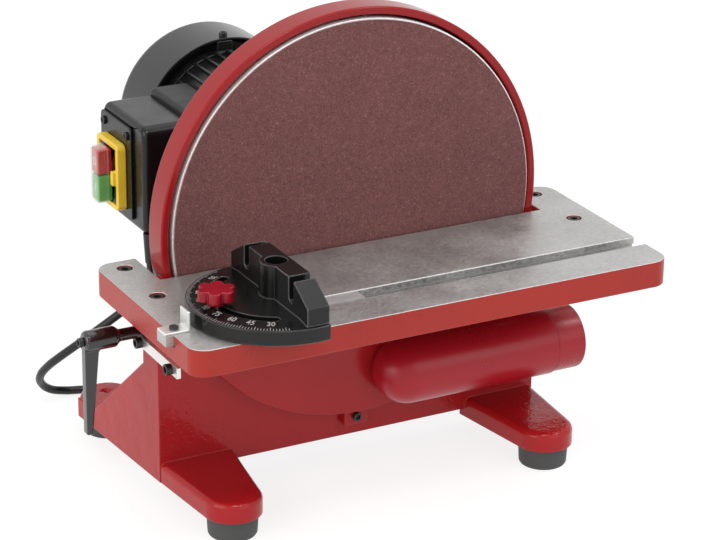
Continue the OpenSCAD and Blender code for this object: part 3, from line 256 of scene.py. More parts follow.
tie_mesh.faces.new(lap_rows[-1][::-1])
tie_cloth = finish(
    "tie_cloth", moulded,
    {"Colour": (0.02, 0.02, 0.022, 1), "Grain": 900.0, "Sheen": 0.85}, 0.0003)
tie = piece("coil_tie", tie_mesh, tie_cloth, "frame")

# Plug: moulded rubber body with a tapered sleeve on the lead, and plated blades and earth
# pin. It lies beside the coil on the end of the lead.
sharp_turn, flat_turn = math.radians(32), math.radians(0.4)
same_point, flat_pull = 1e-5, 90


def edge_group(name):
    tree = bpy.data.node_groups.new(name, "GeometryNodeTree")
    for way in ("INPUT", "OUTPUT"):
        tree.interface.new_socket("Geometry", in_out=way, socket_type="NodeSocketGeometry")
    smoother = tree.nodes.new("GeometryNodeSetShadeSmooth")
    tree.links.new(tree.nodes.new("NodeGroupInput").outputs[0], smoother.inputs["Geometry"])
    corner = tree.nodes.new("GeometryNodeInputMeshEdgeAngle").outputs["Unsigned Angle"]
    return tree, smoother.outputs[0], sums(tree, "GREATER_THAN", corner, sharp_turn)


def edge_marks(name, chosen=None):
    tree, shape, sharp = edge_group(name)
    if chosen:
        place = tree.nodes.new("GeometryNodeInputPosition").outputs[0]
        wanted = chosen(tree, *add(tree, "SeparateXYZ", {0: place}).outputs)
        sharp = sums(tree, "MULTIPLY", sharp, wanted)
    marker = tree.nodes.new("GeometryNodeStoreNamedAttribute")
    marker.data_type, marker.domain = "FLOAT", "EDGE"
    marker.inputs["Name"].default_value = "bevel_weight_edge"
    tree.links.new(shape, marker.inputs["Geometry"])
    tree.links.new(sharp, marker.inputs["Value"])
    tree.links.new(marker.outputs[0], tree.nodes.new("NodeGroupOutput").inputs[0])
    return tree


all_edges = edge_marks("all edges")
crisp, crisp_shape, crisp_sharp = edge_group("crisp edges")
creaser = crisp.nodes.new("GeometryNodeSetShadeSmooth")
creaser.domain = "EDGE"
creaser.inputs["Shade Smooth"].default_value = False
crisp.links.new(crisp_shape, creaser.inputs["Geometry"])
crisp.links.new(crisp_sharp, creaser.inputs["Selection"])
crisp.links.new(creaser.outputs[0], crisp.nodes.new("NodeGroupOutput").inputs[0])


def dress(names, material, edge, steps=3, marks=all_edges):
    for name in names.split():
        part = nodes[name]
        for held in part.material_slots:
            held.material = material
        part.modifiers.new("joined", "WELD").merge_threshold = same_point
        flat = part.modifiers.new("flat", "DECIMATE")
        flat.decimate_type = "DISSOLVE"
        flat.angle_limit = flat_turn
        part.modifiers.new("marks", "NODES").node_group = marks
        soft = part.modifiers.new("soft_edge", "BEVEL")
        soft.width, soft.segments = edge, steps
        soft.limit_method = "WEIGHT"
        soft.use_clamp_overlap = False
        if marks != all_edges:
            part.modifiers.new("crisp", "NODES").node_group = crisp
        even = part.modifiers.new("even", "WEIGHTED_NORMAL")
        even.weight = flat_pull
        even.keep_sharp = marks != all_edges


plug_rubber = finish(
    "plug_rubber", moulded,
    {"Colour": (0.03, 0.03, 0.032, 1), "Grain": 1300.0, "Sheen": 0.5}, 0.00006)
dress("plug_body", plug_rubber, 0.0012)

# ground lines: fine scratches that run one way, as a grinding wheel, lathe or die leaves them
cloud_scale, swing_dull, drift_dull = 24.0, 0.5, 0.6
ground, given, gives = effect(
    "ground lines", Colour=(0.5, 0.5, 0.5, 1), Stretch=(60.0, 2500.0, 60.0), Sheen=0.3,
    Contrast=0.12)
where = add(ground, "TexCoord").outputs["Object"]
pulled = add(ground, "VectorMath", {0: where, 1: given["Stretch"]}, operation="MULTIPLY")
lines = mottle(ground, pulled.outputs[0], 1.0, 4.0, 0.6)
cloud = mottle(ground, where, cloud_scale, 4.0)
swing = spread(ground, lines, 0.25, 0.75, -1.0, 1.0)
swing = sums(ground, "MULTIPLY", swing, given["Contrast"])
drift = spread(ground, cloud, *noise_band, -0.3, 0.3)
drift = sums(ground, "MULTIPLY", drift, given["Contrast"])
level = sums(ground, "ADD", 1.0, sums(ground, "ADD", swing, drift))
ground.links.new(tint(ground, 1.0, given["Colour"], level, "MULTIPLY"), gives["Colour"])
dull = sums(ground, "ADD", given["Sheen"], sums(ground, "MULTIPLY", swing, swing_dull))
dull = sums(ground, "ADD", dull, sums(ground, "MULTIPLY", drift, drift_dull))
ground.links.new(dull, gives["Roughness"])
ground.links.new(lines, gives["Height"])
pin_plate = finish(
    "pin_plate", ground,
    {"Colour": (0.72, 0.68, 0.56, 1), "Stretch": (2500.0, 80.0, 80.0), "Sheen": 0.25},
    0.00002, Metallic=1.0)
dress("plug_pins", pin_plate, 0.0005)


# Studio: a pale floor that fades into white and keeps a light shadow, one broad soft box
# on the left, one overhead, a weak one in front, and two small ones that draw the glints.
def soft_box(name, place, wide, high, power, colour=(1.0, 1.0, 1.0)):
    lamp = bpy.data.lights.new(name, "AREA")
    lamp.shape = "RECTANGLE"
    lamp.size, lamp.size_y, lamp.energy, lamp.color = wide, high, power, colour
    hung = bpy.data.objects.new(name, lamp)
    hung.location = place
    hung.rotation_mode = "QUATERNION"
    hung.rotation_quaternion = (lamp_aim - Vector(place)).to_track_quat("-Z", "Y")
    scene.collection.objects.link(hung)


lamp_aim = Vector((0, 0, 0.2))
soft_box("left_box", (-2.1, -0.5, 1.0), 1.6, 1.6, 19.5, (1.0, 0.93, 0.82))
soft_box("top_box", (0.2, 0.5, 2.3), 2.0, 1.6, 9)
soft_box("front_box", (0.9, -2.3, 1.2), 1.4, 1.4, 6)
soft_box("near_box", (-0.3, -1.1, 2.0), 0.7, 0.35, 9)
soft_box("far_box", (1.1, -0.8, 1.9), 0.7, 0.35, 7)


def seen_white(tree):
    rays = add(tree, "LightPath").outputs
    both = sums(tree, "MAXIMUM", rays["Is Camera Ray"], rays["Is Glossy Ray"])
    return sums(tree, "MAXIMUM", both, rays["Is Transmission Ray"])


sky_fill, sky_seen = 0.6, 1.0
world = bpy.data.worlds.new("studio")
scene.world = world
world.use_nodes = True
tree = world.node_tree
sky = tree.nodes["Background"]
sky.inputs["Color"].default_value = (1, 1, 1, 1)
strength = spread(tree, seen_white(tree), 0.0, 1.0, sky_fill, sky_seen)
tree.links.new(strength, sky.inputs["Strength"])

floor_half, floor_drop, floor_glow = 9, 0.0003, 0.82
square = ((-1, -1), (1, -1), (1, 1), (-1, 1))
floor_mesh = bpy.data.meshes.new("floor")
floor_mesh.from_pydata(
    [(x * floor_half, y * floor_half, -floor_drop) for x, y in square], [], [(0, 1, 2, 3)])
floor = bpy.data.objects.new("floor", floor_mesh)
scene.collection.objects.link(floor)
pale = bpy.data.materials.new("pale_floor")
pale.use_nodes = True
tree = pale.node_tree
tree.nodes.remove(tree.nodes["Principled BSDF"])
speck = mottle(tree, add(tree, "TexCoord").outputs["Object"], 6.0, 3.0)
speck = spread(tree, speck, *noise_band, 0.98, 1.02)
speckled = tint(tree, 1.0, (0.82, 0.82, 0.82, 1), speck, "MULTIPLY")
plain = add(tree, "BsdfDiffuse", {"Color": speckled})
faint = add(tree, "BsdfDiffuse", {"Color": (0.26, 0.26, 0.26, 1)})
glow = add(tree, "Emission", {"Color": (1, 1, 1, 1), "Strength": floor_glow})
shown = add(tree, "AddShader", {0: faint.outputs[0], 1: glow.outputs[0]})
choice = add(
    tree, "MixShader", {0: seen_white(tree), 1: plain.outputs[0], 2: shown.outputs[0]})
tree.links.new(choice.outputs[0], tree.nodes["Material Output"].inputs["Surface"])
floor_mesh.materials.append(pale)

# Base: a grey iron casting with a front wall, splayed sides and four legs, its outer sides
# ground flat, then sprayed in thick red enamel that rounds the toes and keeps the pits.
# cast paint: slow waves of the casting, the peel of sprayed paint, and edges lightened towards
# the Edge colour, partly worn thin paint and partly a painted highlight along the edges
wave_scale, tone_scale, pit_scale, peel_share, edge_reach = 42.0, 11.0, 330.0, 0.16, 0.0012
painted, given, gives = effect(
    "cast paint", Colour=(0.5, 0.1, 0.1, 1), Edge=(0.6, 0.2, 0.2, 1), Peel=420.0, Wave=0.6,
    Pits=0.0, Sheen=0.32, Rub=0.4)
where = add(painted, "TexCoord").outputs["Object"]
peel = mottle(painted, where, given["Peel"], 2.0, 0.45)
wave = mottle(painted, where, wave_scale, 2.0)
tone = mottle(painted, where, tone_scale, 4.0)
pit = spread(painted, mottle(painted, where, pit_scale, 1.0), 0.30, 0.44)
# The edge mask lightens the colour along edges: worn thin paint there, and a painted highlight.
turned_in = add(painted, "Bevel", {"Radius": edge_reach}, samples=4).outputs["Normal"]
straight = add(painted, "NewGeometry").outputs["Normal"]
bend = add(painted, "VectorMath", {0: turned_in, 1: straight}, operation="DOT_PRODUCT")
rubbed_and_highlit = spread(painted, bend.outputs["Value"], 0.985, 0.86)
rubbed_and_highlit = sums(painted, "MULTIPLY", rubbed_and_highlit, spread(painted, peel, 0.3, 0.6, 0.5, 1.0))
rubbed_and_highlit = sums(painted, "MULTIPLY", rubbed_and_highlit, given["Rub"])
shade = spread(painted, tone, *noise_band, 0.93, 1.05)
body = tint(painted, 1.0, given["Colour"], shade, "MULTIPLY")
painted.links.new(tint(painted, rubbed_and_highlit, body, given["Edge"]), gives["Colour"])
dull = sums(painted, "ADD", given["Sheen"], spread(painted, tone, *noise_band, -0.04, 0.05))
dull = sums(painted, "ADD", dull, spread(painted, peel, 0.35, 0.65, -0.02, 0.03))
painted.links.new(dull, gives["Roughness"])
rise = sums(painted, "MULTIPLY", peel, peel_share)
rise = sums(painted, "ADD", rise, sums(painted, "MULTIPLY", wave, given["Wave"]))
rise = sums(painted, "ADD", rise, sums(painted, "MULTIPLY", pit, given["Pits"]))
painted.links.new(rise, gives["Height"])


def unsigned(tree, value):
    return add(tree, "Math", {0: value}, operation="ABSOLUTE").outputs[0]


red = (0.42, 0.0125, 0.0165, 1)
# The lighter edge red stands for thin paint and a painted highlight on the edges.
thin_and_highlit_red = (0.55, 0.05, 0.04, 1)
wall_pits, side_pits = 0.2, 0.02
base_red = finish(
    "base_red", painted,
    {"Colour": red, "Edge": thin_and_highlit_red, "Peel": 300.0, "Wave": 1.0, "Sheen": 0.13},
    0.0006, rounding=0.0018, Specular_IOR_Level=0.27)
tree = base_red.node_tree
facing = add(tree, "SeparateXYZ", {0: add(tree, "TexCoord").outputs["Normal"]}).outputs
coat = next(node for node in tree.nodes if node.type == "GROUP")
pits = spread(tree, unsigned(tree, facing[0]), 0.5, 0.8, wall_pits, side_pits)
tree.links.new(pits, coat.inputs["Pits"])
leg_top, leg_front, leg_back, leg_inside = 0.034, -0.064, 0.0783, 0.130
rear_from, level_room = 0.055, 0.0001


def on_toes(tree, x, y, z):
    level = add(tree, "Math", {0: z, 1: leg_top, 2: level_room}, operation="COMPARE").outputs[0]
    inside = sums(tree, "LESS_THAN", unsigned(tree, x), leg_inside)
    inside = sums(tree, "MULTIPLY", inside, sums(tree, "GREATER_THAN", y, rear_from))
    front = sums(tree, "LESS_THAN", y, leg_front)
    ends = sums(tree, "MAXIMUM", front, sums(tree, "GREATER_THAN", y, leg_back))
    return sums(tree, "MULTIPLY", level, sums(tree, "MAXIMUM", ends, inside))


dress("base_casting", base_red, 0.005, 6, edge_marks("toe edges", on_toes))

# Feet: round moulded grey rubber, each held up into its leg by a plated socket screw
# through a washer seat in its underside.
foot_rubber = finish(
    "foot_rubber", moulded,
    {"Colour": (0.062, 0.066, 0.066, 1), "Grain": 1100.0, "Sheen": 0.6}, 0.00008)
dress("rubber_feet", foot_rubber, 0.0012)
bright_screw = finish(
    "bright_screw", ground,
    {"Colour": (0.62, 0.62, 0.6, 1), "Stretch": (300.0, 300.0, 2200.0), "Sheen": 0.3},
    0.00002, Metallic=1.0)
dress("foot_screws", bright_screw, 0.0004, 2)

# Guard: a spun and turned dish round the disc, enamelled like the base but smoother, and
# bolted through its back to the web of the base with black hexagon bolts.
# Its red is a darker copy of the base's red: painted shade, mostly for the front lip.
guard_shaded_red = finish(
    "guard_shaded_red", painted,
    {"Colour": (0.31, 0.0095, 0.012, 1), "Edge": thin_and_highlit_red, "Peel": 500.0, "Wave": 0.5,
     "Sheen": 0.12},
    0.00018, Specular_IOR_Level=0.26)
dress("disc_guard", guard_shaded_red, 0.0016, 4)
black_screw = finish(
    "black_screw", ground,
    {"Colour": (0.05, 0.05, 0.052, 1), "Stretch": (900.0, 900.0, 900.0), "Sheen": 0.36,
     "Contrast": 0.2},
    0.00003, Metallic=0.8)
dress("guard_bolts", black_screw, 0.0005, 2)

# Lower cover: a pressed plate with a rolled rim that closes the lower half of the disc,
# red like the guard, held by three black socket screws in tabs.
cover_red = finish(
    "cover_red", painted,
    {"Colour": red, "Edge": thin_and_highlit_red, "Peel": 500.0, "Wave": 0.5, "Sheen": 0.2},
    0.00018, Specular_IOR_Level=0.32)
dress("lower_cover cover_rim", cover_red, 0.0008)
dress("cover_screws", black_screw, 0.0004, 2)

# Dust chute: a round moulded shell on the cover that opens into a hose spigot on the right,
# the smoothest of the red pieces.
chute_red = finish(
    "chute_red", painted,
    {"Colour": (0.41, 0.008, 0.019, 1), "Edge": thin_and_highlit_red, "Peel": 620.0, "Wave": 0.25,
     "Sheen": 0.28, "Rub": 0.2},
    0.00012, Specular_IOR_Level=0.42)
dress("dust_chute", chute_red, 0.0008)

# Disc: an aluminium plate turned on the lathe, with its hub and set screw behind.
# The turned edge shows bright round the abrasive.
plate_bright = finish(
    "plate_bright", ground,
    {"Colour": (0.88, 0.87, 0.87, 1), "Stretch": (900.0, 1200.0, 900.0), "Sheen": 0.42,
     "Contrast": 0.2},
    0.00004, Metallic=0.6)
dress("disc_plate", plate_bright, 0.0004, 2)
dress("hub_set_screw", black_screw, 0.0003, 2)

# Abrasive: maroon aluminium-oxide grit glued to a cloth disc, stuck to the plate.
# The grains stand up unevenly, with pale and dark ones among them.
cell_scale, fine_scale, patch_scale, broad_scale = 1150.0, 1500.0, 260.0, 16.0
cell_rise, grit_relief, odd_share = -0.8, 0.00022, 0.45
grit = bpy.data.materials.new("maroon_grit")
grit.use_nodes = True
tree = grit.node_tree
shader = tree.nodes["Principled BSDF"]
where = add(tree, "TexCoord").outputs["Object"]
cells = add(tree, "TexVoronoi", {"Vector": where, "Scale": cell_scale})
fine = mottle(tree, where, fine_scale, 3.0, 0.7)
patch = mottle(tree, where, patch_scale, 3.0, 0.6)
broad = mottle(tree, where, broad_scale, 3.0)
pick = add(tree, "SeparateColor", {0: cells.outputs["Color"]}).outputs
grains = tint(
    tree, spread(tree, fine, *noise_band), (0.115, 0.037, 0.037, 1), (0.21, 0.084, 0.083, 1))
pale_ones = spread(tree, pick[0], 0.88, 1.0, 0.0, odd_share)
grains = tint(tree, pale_ones, grains, (0.36, 0.2, 0.19, 1))
dark_ones = spread(tree, pick[1], 0.85, 1.0, 0.0, odd_share)
grains = tint(tree, dark_ones, grains, (0.05, 0.018, 0.018, 1))
for cloth, low, high in ((patch, 0.86, 1.12), (broad, 0.95, 1.05)):
    grains = tint(tree, 1.0, grains, spread(tree, cloth, *noise_band, low, high), "MULTIPLY")
tree.links.new(grains, shader.inputs["Base Color"])
tree.links.new(spread(tree, pick[2], 0.0, 1.0, 0.55, 0.95), shader.inputs["Roughness"])
peaks = sums(tree, "ADD", sums(tree, "MULTIPLY", cells.outputs["Distance"], cell_rise), fine)
raised = add(tree, "Bump", {"Distance": grit_relief, "Height": peaks})
tree.links.new(raised.outputs["Normal"], shader.inputs["Normal"])
shader.inputs["Specular IOR Level"].default_value = 0.35
dress("abrasive_disc", grit, 0.0003, 2)

# Motor: a finned aluminium body between two bells, painted satin black all over.
# The body is an extrusion, so its fins run the length of it.
motor_black = finish(
    "motor_black", painted,
    {"Colour": (0.007, 0.007, 0.008, 1), "Edge": (0.06, 0.06, 0.062, 1), "Peel": 700.0,
     "Wave": 0.4, "Sheen": 0.28, "Rub": 0.6},
    0.00016, Specular_IOR_Level=0.42)
dress("motor_body", motor_black, 0.0004, 2)
dress("motor_front_bell motor_rear_bell", motor_black, 0.001)
dress("motor_bolts", black_screw, 0.0004, 2)

# Fan cover: deep-drawn sheet steel with a rounded rear edge and a slotted back, powder
# coated dark grey, held by three low socket screws.
cover_grey = finish(
    "cover_grey", painted,
    {"Colour": (0.014, 0.014, 0.016, 1), "Edge": (0.10, 0.10, 0.105, 1), "Peel": 900.0,
     "Wave": 0.12, "Sheen": 0.2, "Rub": 0.35},
    0.00004)
dress("fan_cover", cover_grey, 0.0005, 2)
dress("fan_cover_screws", black_screw, 0.0004, 2)

# Motor insides: ground shaft, pressed steel stacks, copper end windings, plain bearing
# rings and a moulded fan.
bright_steel = finish(
    "bright_steel", ground,
    {"Colour": (0.56, 0.57, 0.58, 1), "Stretch": (60.0, 2400.0, 60.0), "Sheen": 0.26},
    0.00002, Metallic=1.0)
dress("motor_shaft front_bearing rear_bearing", bright_steel, 0.0004, 2)
stack_steel = finish(
    "stack_steel", ground,
    {"Colour": (0.3, 0.31, 0.32, 1), "Stretch": (20.0, 2000.0, 20.0), "Sheen": 0.45,
     "Contrast": 0.3},
    0.00008, Metallic=1.0)
dress("rotor stator", stack_steel, 0.0004, 2)
wound_copper = finish(
    "wound_copper", ground,
    {"Colour": (0.5, 0.18, 0.07, 1), "Stretch": (900.0, 40.0, 900.0), "Sheen": 0.35,
     "Contrast": 0.4},
    0.0003, Metallic=0.8)
dress("windings", wound_copper, 0.002)
fan_black = finish(
    "fan_black", moulded,
    {"Colour": (0.02, 0.02, 0.022, 1), "Grain": 1400.0, "Sheen": 0.5}, 0.00005)
dress("cooling_fan", fan_black, 0.0004, 2)

# Switch box: a moulded black box on a saddle that fits the round of the motor, with a
# screwed front plate. The run capacitor and the contacts sit inside.
box_seam = -0.084
box_black = finish(
    "box_black", moulded,
    {"Colour": (0.006, 0.006, 0.007, 1), "Grain": 1700.0, "Sheen": 0.24},
    0.00005, Specular_IOR_Level=0.34)
saddle_grey = finish(
    "saddle_grey", moulded,
    {"Colour": (0.016, 0.016, 0.018, 1), "Grain": 1500.0, "Sheen": 0.4},
    0.00006, Specular_IOR_Level=0.25)
box_edges = edge_marks("box edges", lambda tree, x, y, z: sums(tree, "LESS_THAN", x, box_seam))
dress("switch_box", box_black, 0.005, 5, box_edges)
dress("switch_saddle", saddle_grey, 0.0045, 5)
dress("switch_plate", box_black, 0.0007)
dress("switch_body", box_black, 0.0006)
dress("plate_screws", black_screw, 0.0004, 2)
can_silver = finish(
    "can_silver", ground,
    {"Colour": (0.7, 0.71, 0.72, 1), "Stretch": (80.0, 80.0, 900.0), "Sheen": 0.3},
    0.00002, Metallic=1.0)
dress("run_capacitor", can_silver, 0.0015)
dress("cord_gland", lead_rubber, 0.0008)

# Switch: a yellow moulded frame with a latch, and two glossy plastic buttons, red above to
# stop and green below to start, marked with a ring and a bar.
frame_yellow = finish(
    "frame_yellow", moulded,
    {"Colour": (0.87, 0.61, 0.05, 1), "Grain": 1600.0, "Sheen": 0.34},
    0.00004, Subsurface_Weight=0.08, Subsurface_Scale=0.002)
dress("switch_frame", frame_yellow, 0.0011)
stop_red = finish(
    "stop_red", moulded,
    {"Colour": (0.46, 0.022, 0.022, 1), "Grain": 1800.0, "Sheen": 0.3},
    0.00003, Coat_Weight=0.3)
start_green = finish(
    "start_green", moulded,
    {"Colour": (0.10, 0.43, 0.08, 1), "Grain": 1800.0, "Sheen": 0.3},
    0.00003, Coat_Weight=0.3)
dress("stop_button", stop_red, 0.0012)
dress("start_button", start_green, 0.0012)
mark_white = finish(
    "mark_white", moulded,
    {"Colour": (0.74, 0.74, 0.72, 1), "Grain": 1600.0, "Sheen": 0.5}, 0.00002)
mark_sunk, mark_thick, mark_steps = 0.00002, 0.00012, 40
ring_inner, ring_outer = 0.0024, 0.0033
bar_inner, bar_inner_reach, bar_outer, bar_outer_reach = 0.00005, 0.0026, 0.0006, 0.0028


def ring_points(r, reach=0.0):
    spots = []
    for i in range(mark_steps):
        angle = 2 * math.pi * (i + 0.5) / mark_steps
        up = r * math.sin(angle)
        spots.append((r * math.cos(angle), up + math.copysign(reach, up)))
    return spots


def button_mark(name, button, body, inner, outer):
    low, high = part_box(button)
    face = Vector((low.x, (low.y + high.y) / 2, (low.z + high.z) / 2))
    mesh = bmesh.new()
    rows = []
    for near, far in zip(inner, outer):
        corners = (
            (mark_sunk, *near), (-mark_thick, *near), (-mark_thick, *far), (mark_sunk, *far))
        rows.append([mesh.verts.new(face + Vector(corner)) for corner in corners])
    for row, following in zip(rows, rows[1:] + rows[:1]):
        bridge(mesh, row, following)
    piece(name, mesh, mark_white, body)


button_mark("stop_ring", "stop_button", "stop", ring_points(ring_inner), ring_points(ring_outer))
button_mark(
    "start_bar", "start_button", "start",
    ring_points(bar_inner, bar_inner_reach), ring_points(bar_outer, bar_outer_reach))

# Clear skin: a soft see-through cap pressed into the yellow frame over both buttons, which
# keeps the dust out and gives when a button is pushed.
skin_room, skin_bend, skin_corner, skin_least = 0.0013, 0.0028, 0.0038, 0.0006
skin_wall, skin_seat, skin_foot, foot_flare, seat_flare = 0.0004, 0.0006, 0.0008, 0.0002, 0.0012
skin_thin, skin_full = 0.012, 0.42
stop_low, stop_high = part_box("stop_button")
start_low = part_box("start_button")[0]
skin_front = stop_low.x - skin_room
skin_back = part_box("switch_frame")[0].x + skin_seat
skin_mid = Vector((0, (stop_low.y + stop_high.y) / 2, (start_low.z + stop_high.z) / 2))
half_y = (stop_high.y - stop_low.y) / 2 + skin_room
half_z = (stop_high.z - start_low.z) / 2 + skin_room


def skin_row(mesh, x, inset):
    spots = []
    r = max(skin_corner - inset, skin_least)
    for sign_y, sign_z, first in ((1, 1, 0), (-1, 1, 90), (-1, -1, 180), (1, -1, 270)):
        corner = Vector((x, sign_y * (half_y - inset - r), sign_z * (half_z - inset - r)))
        for step in quarter:
            angle = math.radians(first + step)
            around = Vector((0, r * math.cos(angle), r * math.sin(angle)))
            spots.append(mesh.verts.new(skin_mid + corner + around))
    return spots


skin_mesh = bmesh.new()
skin_rows = [
    skin_row(skin_mesh, skin_back, -seat_flare),
    skin_row(skin_mesh, skin_back - skin_foot, -foot_flare)]
for step in quarter:
    angle = math.radians(step)
    forward = skin_front + skin_bend * (1 - math.sin(angle))
    skin_rows.append(skin_row(skin_mesh, forward, skin_bend * (1 - math.cos(angle))))
for row, following in zip(skin_rows, skin_rows[1:]):
    bridge(skin_mesh, row, following)
skin_mesh.faces.new(skin_rows[-1])
clear_skin = finish(
    "clear_skin", moulded,
    {"Colour": (0.86, 0.86, 0.85, 1), "Grain": 500.0, "Sheen": 0.08}, 0.00006)
tree = clear_skin.node_tree
# Its pale colour grows more opaque towards the rim: a painted reflection along the rim.
rim = add(tree, "LayerWeight", {"Blend": 0.35}).outputs["Facing"]
cover = spread(tree, rim, 0.0, 1.0, skin_thin, skin_full)
tree.links.new(cover, tree.nodes["Principled BSDF"].inputs["Alpha"])
clear_cap = piece("button_skin", skin_mesh, clear_skin, "frame")
wall = clear_cap.modifiers.new("wall", "SOLIDIFY")
wall.thickness, wall.offset = skin_wall, -1.0

# Table: a ribbed iron casting. Its top and its slot are ground bright with lines along its
# length, the sides and the underside are enamelled red.
top_z, top_starts, top_full = 0.189, 0.0012, 0.0008
slot_y, slot_reach, slot_floor, side_fade, floor_fade = -0.1606, 0.0126, 0.1788, 0.0003, 0.0004
iron_metal, iron_relief, table_relief = 0.82, 0.05, 0.00025
table_iron = bpy.data.materials.new("table_iron")
table_iron.use_nodes = True
tree = table_iron.node_tree
shader = tree.nodes["Principled BSDF"]
spot = add(tree, "TexCoord").outputs
place = add(tree, "SeparateXYZ", {0: spot["Object"]}).outputs
facing = add(tree, "SeparateXYZ", {0: spot["Normal"]}).outputs
upper = spread(tree, place[2], top_z - top_starts, top_z - top_full)
on_top = sums(tree, "MULTIPLY", spread(tree, facing[2], 0.45, 0.6), upper)
off_slot = unsigned(tree, sums(tree, "SUBTRACT", place[1], slot_y))
in_slot = spread(tree, off_slot, slot_reach + side_fade, slot_reach)
above = spread(tree, place[2], slot_floor, slot_floor + floor_fade)
in_slot = sums(tree, "MULTIPLY", in_slot, above)
endwise = spread(tree, unsigned(tree, facing[0]), 0.75, 0.6)
in_slot = sums(tree, "MULTIPLY", in_slot, endwise)
bare = sums(tree, "MAXIMUM", on_top, in_slot)
covered = sums(tree, "SUBTRACT", 1.0, bare)
iron = add(tree, "Group", {
    "Colour": (0.46, 0.455, 0.445, 1), "Stretch": (330.0, 1600.0, 330.0), "Sheen": 0.46,
    "Contrast": 0.28}, node_tree=ground).outputs
coat = add(tree, "Group", {
    "Colour": (0.39, 0.026, 0.018, 1), "Edge": (0.55, 0.09, 0.06, 1), "Peel": 420.0,
    "Wave": 0.8, "Pits": 0.05, "Sheen": 0.3}, node_tree=painted).outputs
tree.links.new(tint(tree, bare, coat["Colour"], iron["Colour"]), shader.inputs["Base Color"])
tree.links.new(sums(tree, "MULTIPLY", bare, iron_metal), shader.inputs["Metallic"])
shader.inputs["Specular IOR Level"].default_value = 0.3
dull = sums(tree, "MULTIPLY", bare, iron["Roughness"])
dull = sums(tree, "ADD", dull, sums(tree, "MULTIPLY", covered, coat["Roughness"]))
tree.links.new(dull, shader.inputs["Roughness"])
rise = sums(tree, "MULTIPLY", sums(tree, "MULTIPLY", bare, iron_relief), iron["Height"])
rise = sums(tree, "ADD", rise, sums(tree, "MULTIPLY", covered, coat["Height"]))
relief = add(tree, "Bump", {"Distance": table_relief, "Height": rise})
tree.links.new(relief.outputs["Normal"], shader.inputs["Normal"])
dress("table", table_iron, 0.0009)
dress("table_screws", black_screw, 0.0004, 2)

# Trunnions: pressed steel plates enamelled red under the table ears, with a bright
# zinc-plated strip and two socket screws each, on turned pivot pins and lock studs.
dress("trunnion_left trunnion_right", cover_red, 0.0006, 2)
zinc = finish(
    "zinc", ground,
    {"Colour": (0.82, 0.82, 0.8, 1), "Stretch": (120.0, 300.0, 900.0), "Sheen": 0.3,
     "Contrast": 0.06},
    0.00003, Metallic=0.85)
dress("trunnion_strips", zinc, 0.0006, 2)
dress("strip_screws", black_screw, 0.0005, 2)
dress("pivot_pins lock_studs", bright_steel, 0.0004, 2)

# Lock levers: die-cast handles in gloss black enamel, each held on its stud by a
# black end screw.
lever_black = finish(
    "lever_black", painted,
    {"Colour": (0.006, 0.006, 0.007, 1), "Edge": (0.09, 0.09, 0.09, 1), "Peel": 500.0,
     "Wave": 0.25, "Sheen": 0.12, "Rub": 0.7},
    0.0001, Coat_Weight=0.6, Coat_Roughness=0.05)
dress("lock_lever_left lock_lever_right", lever_black, 0.0012)
dress("lever_screw_left lever_screw_right", black_screw, 0.0004, 2)

# Mitre gauge: a ground steel bar, and a die-cast half-round head and fence in satin black,
# with a bent zinc pointer screwed to the end of the bar.
bar_steel = finish(
    "bar_steel", ground,
    {"Colour": (0.5, 0.5, 0.49, 1), "Stretch": (90.0, 1500.0, 900.0), "Sheen": 0.5,
     "Contrast": 0.2},
    0.00003, Metallic=0.55)
dress("mitre_bar", bar_steel, 0.0004, 2)
# Its light grey edge colour, laid on strongly, is a painted highlight along the edges of the
# head and fence.
head_black = finish(
    "head_black", painted,
    {"Colour": (0.006, 0.0065, 0.0065, 1), "Edge": (0.42, 0.42, 0.42, 1), "Peel": 900.0,
     "Wave": 0.2, "Sheen": 0.2, "Rub": 0.7},
    0.00008, Specular_IOR_Level=0.36)
dress("mitre_head", head_black, 0.0007)
dress("mitre_pivot", black_screw, 0.0005, 2)
dress("mitre_pointer", zinc, 0.0005, 2)
dress("pointer_screw", black_screw, 0.0004, 2)

# Scale of the gauge: white figures and lines stamped and filled on the sloping rim of the
# head, reading the angle of the fence from 30 through 90 and back to 30.
gauge_at = Vector((-0.1146, -0.1606, 0.1893))
rim_in, rim_out, rim_high, rim_low = 0.051, 0.0664, 0.0135, 0.0115
scale_lift, scale_thick, scale_gap, line_half = 0.00003, 0.00008, 0.0011, 0.00026
short_line, long_line, scale_end, scale_step, long_every = 0.0028, 0.0042, 72, 2, 10
figure_r, figure_high, figure_narrow, figure_bold = 0.0563, 0.0078, 0.82, 0.012


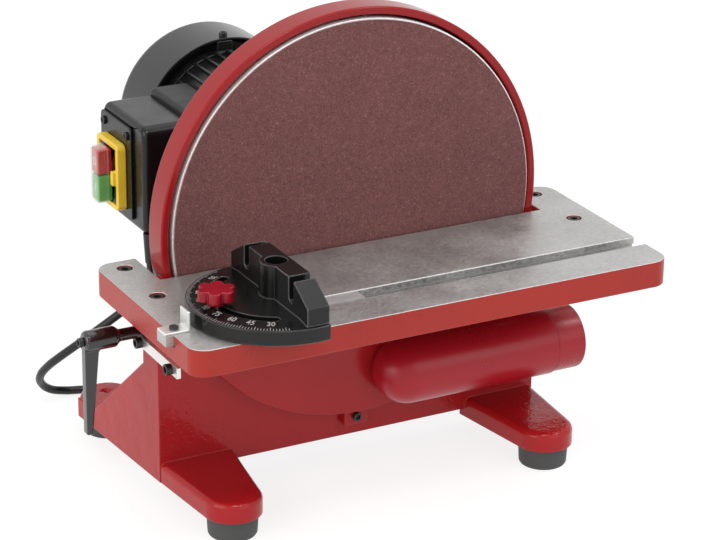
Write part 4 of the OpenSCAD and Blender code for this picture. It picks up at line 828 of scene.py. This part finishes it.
def on_rim(angle, r):
    x, y = math.cos(math.radians(angle)), math.sin(math.radians(angle))
    wide, drop = rim_out - rim_in, rim_high - rim_low
    inward = Vector((x * wide, y * wide, drop)).normalized()
    normal = Vector((-x * drop, -y * drop, wide)).normalized()
    height = rim_high - (r - rim_in) / wide * drop
    at = gauge_at + Vector((-r * x, -r * y, height)) + normal * scale_lift
    side = inward.cross(normal)
    return Matrix((
        (side.x, inward.x, normal.x, at.x), (side.y, inward.y, normal.y, at.y),
        (side.z, inward.z, normal.z, at.z), (0, 0, 0, 1)))


def figure(mesh, text, place):
    letters = bpy.data.curves.new("figure", "FONT")
    letters.body, letters.size, letters.extrude = text, figure_high, scale_thick / 2
    letters.align_x, letters.align_y, letters.resolution_u = "CENTER", "CENTER", 4
    letters.offset = figure_high * figure_bold
    held = bpy.data.objects.new("figure", letters)
    scene.collection.objects.link(held)
    seen = held.evaluated_get(bpy.context.evaluated_depsgraph_get())
    shape = bpy.data.meshes.new_from_object(seen)
    shape.transform(place @ Matrix.Diagonal((figure_narrow, 1, 1, 1)))
    mesh.from_mesh(shape)
    bpy.data.objects.remove(held)
    bpy.data.curves.remove(letters)
    bpy.data.meshes.remove(shape)


scale_mesh = bmesh.new()
for angle in range(-scale_end, scale_end + 1, scale_step):
    length = short_line if angle % long_every else long_line
    place = on_rim(angle, rim_out - scale_gap - length / 2)
    low, top = (
        [scale_mesh.verts.new(place @ Vector((x * line_half, y * length / 2, z)))
         for x, y in square] for z in (0, scale_thick))
    scale_mesh.faces.new(low[::-1])
    scale_mesh.faces.new(top)
    bridge(scale_mesh, low, top)
for angle in range(-60, 61, 15):
    figure(scale_mesh, str(90 - abs(angle)), on_rim(angle, figure_r))
scale_white = finish(
    "scale_white", moulded,
    {"Colour": (0.36, 0.36, 0.355, 1), "Grain": 2200.0, "Sheen": 0.5}, 0.00002)
piece("gauge_scale", scale_mesh, scale_white, "gauge_head")

# Star knob: six-lobed moulded knob in glossy red plastic on a steel stud, which clamps the
# head through its arc slot.
knob_red = finish(
    "knob_red", moulded,
    {"Colour": (0.29, 0.003, 0.014, 1), "Grain": 1500.0, "Sheen": 0.2},
    0.00004, Specular_IOR_Level=0.35)
dress("mitre_knob", knob_red, 0.001, 4)
dress("knob_stud", bright_steel, 0.0004, 2)
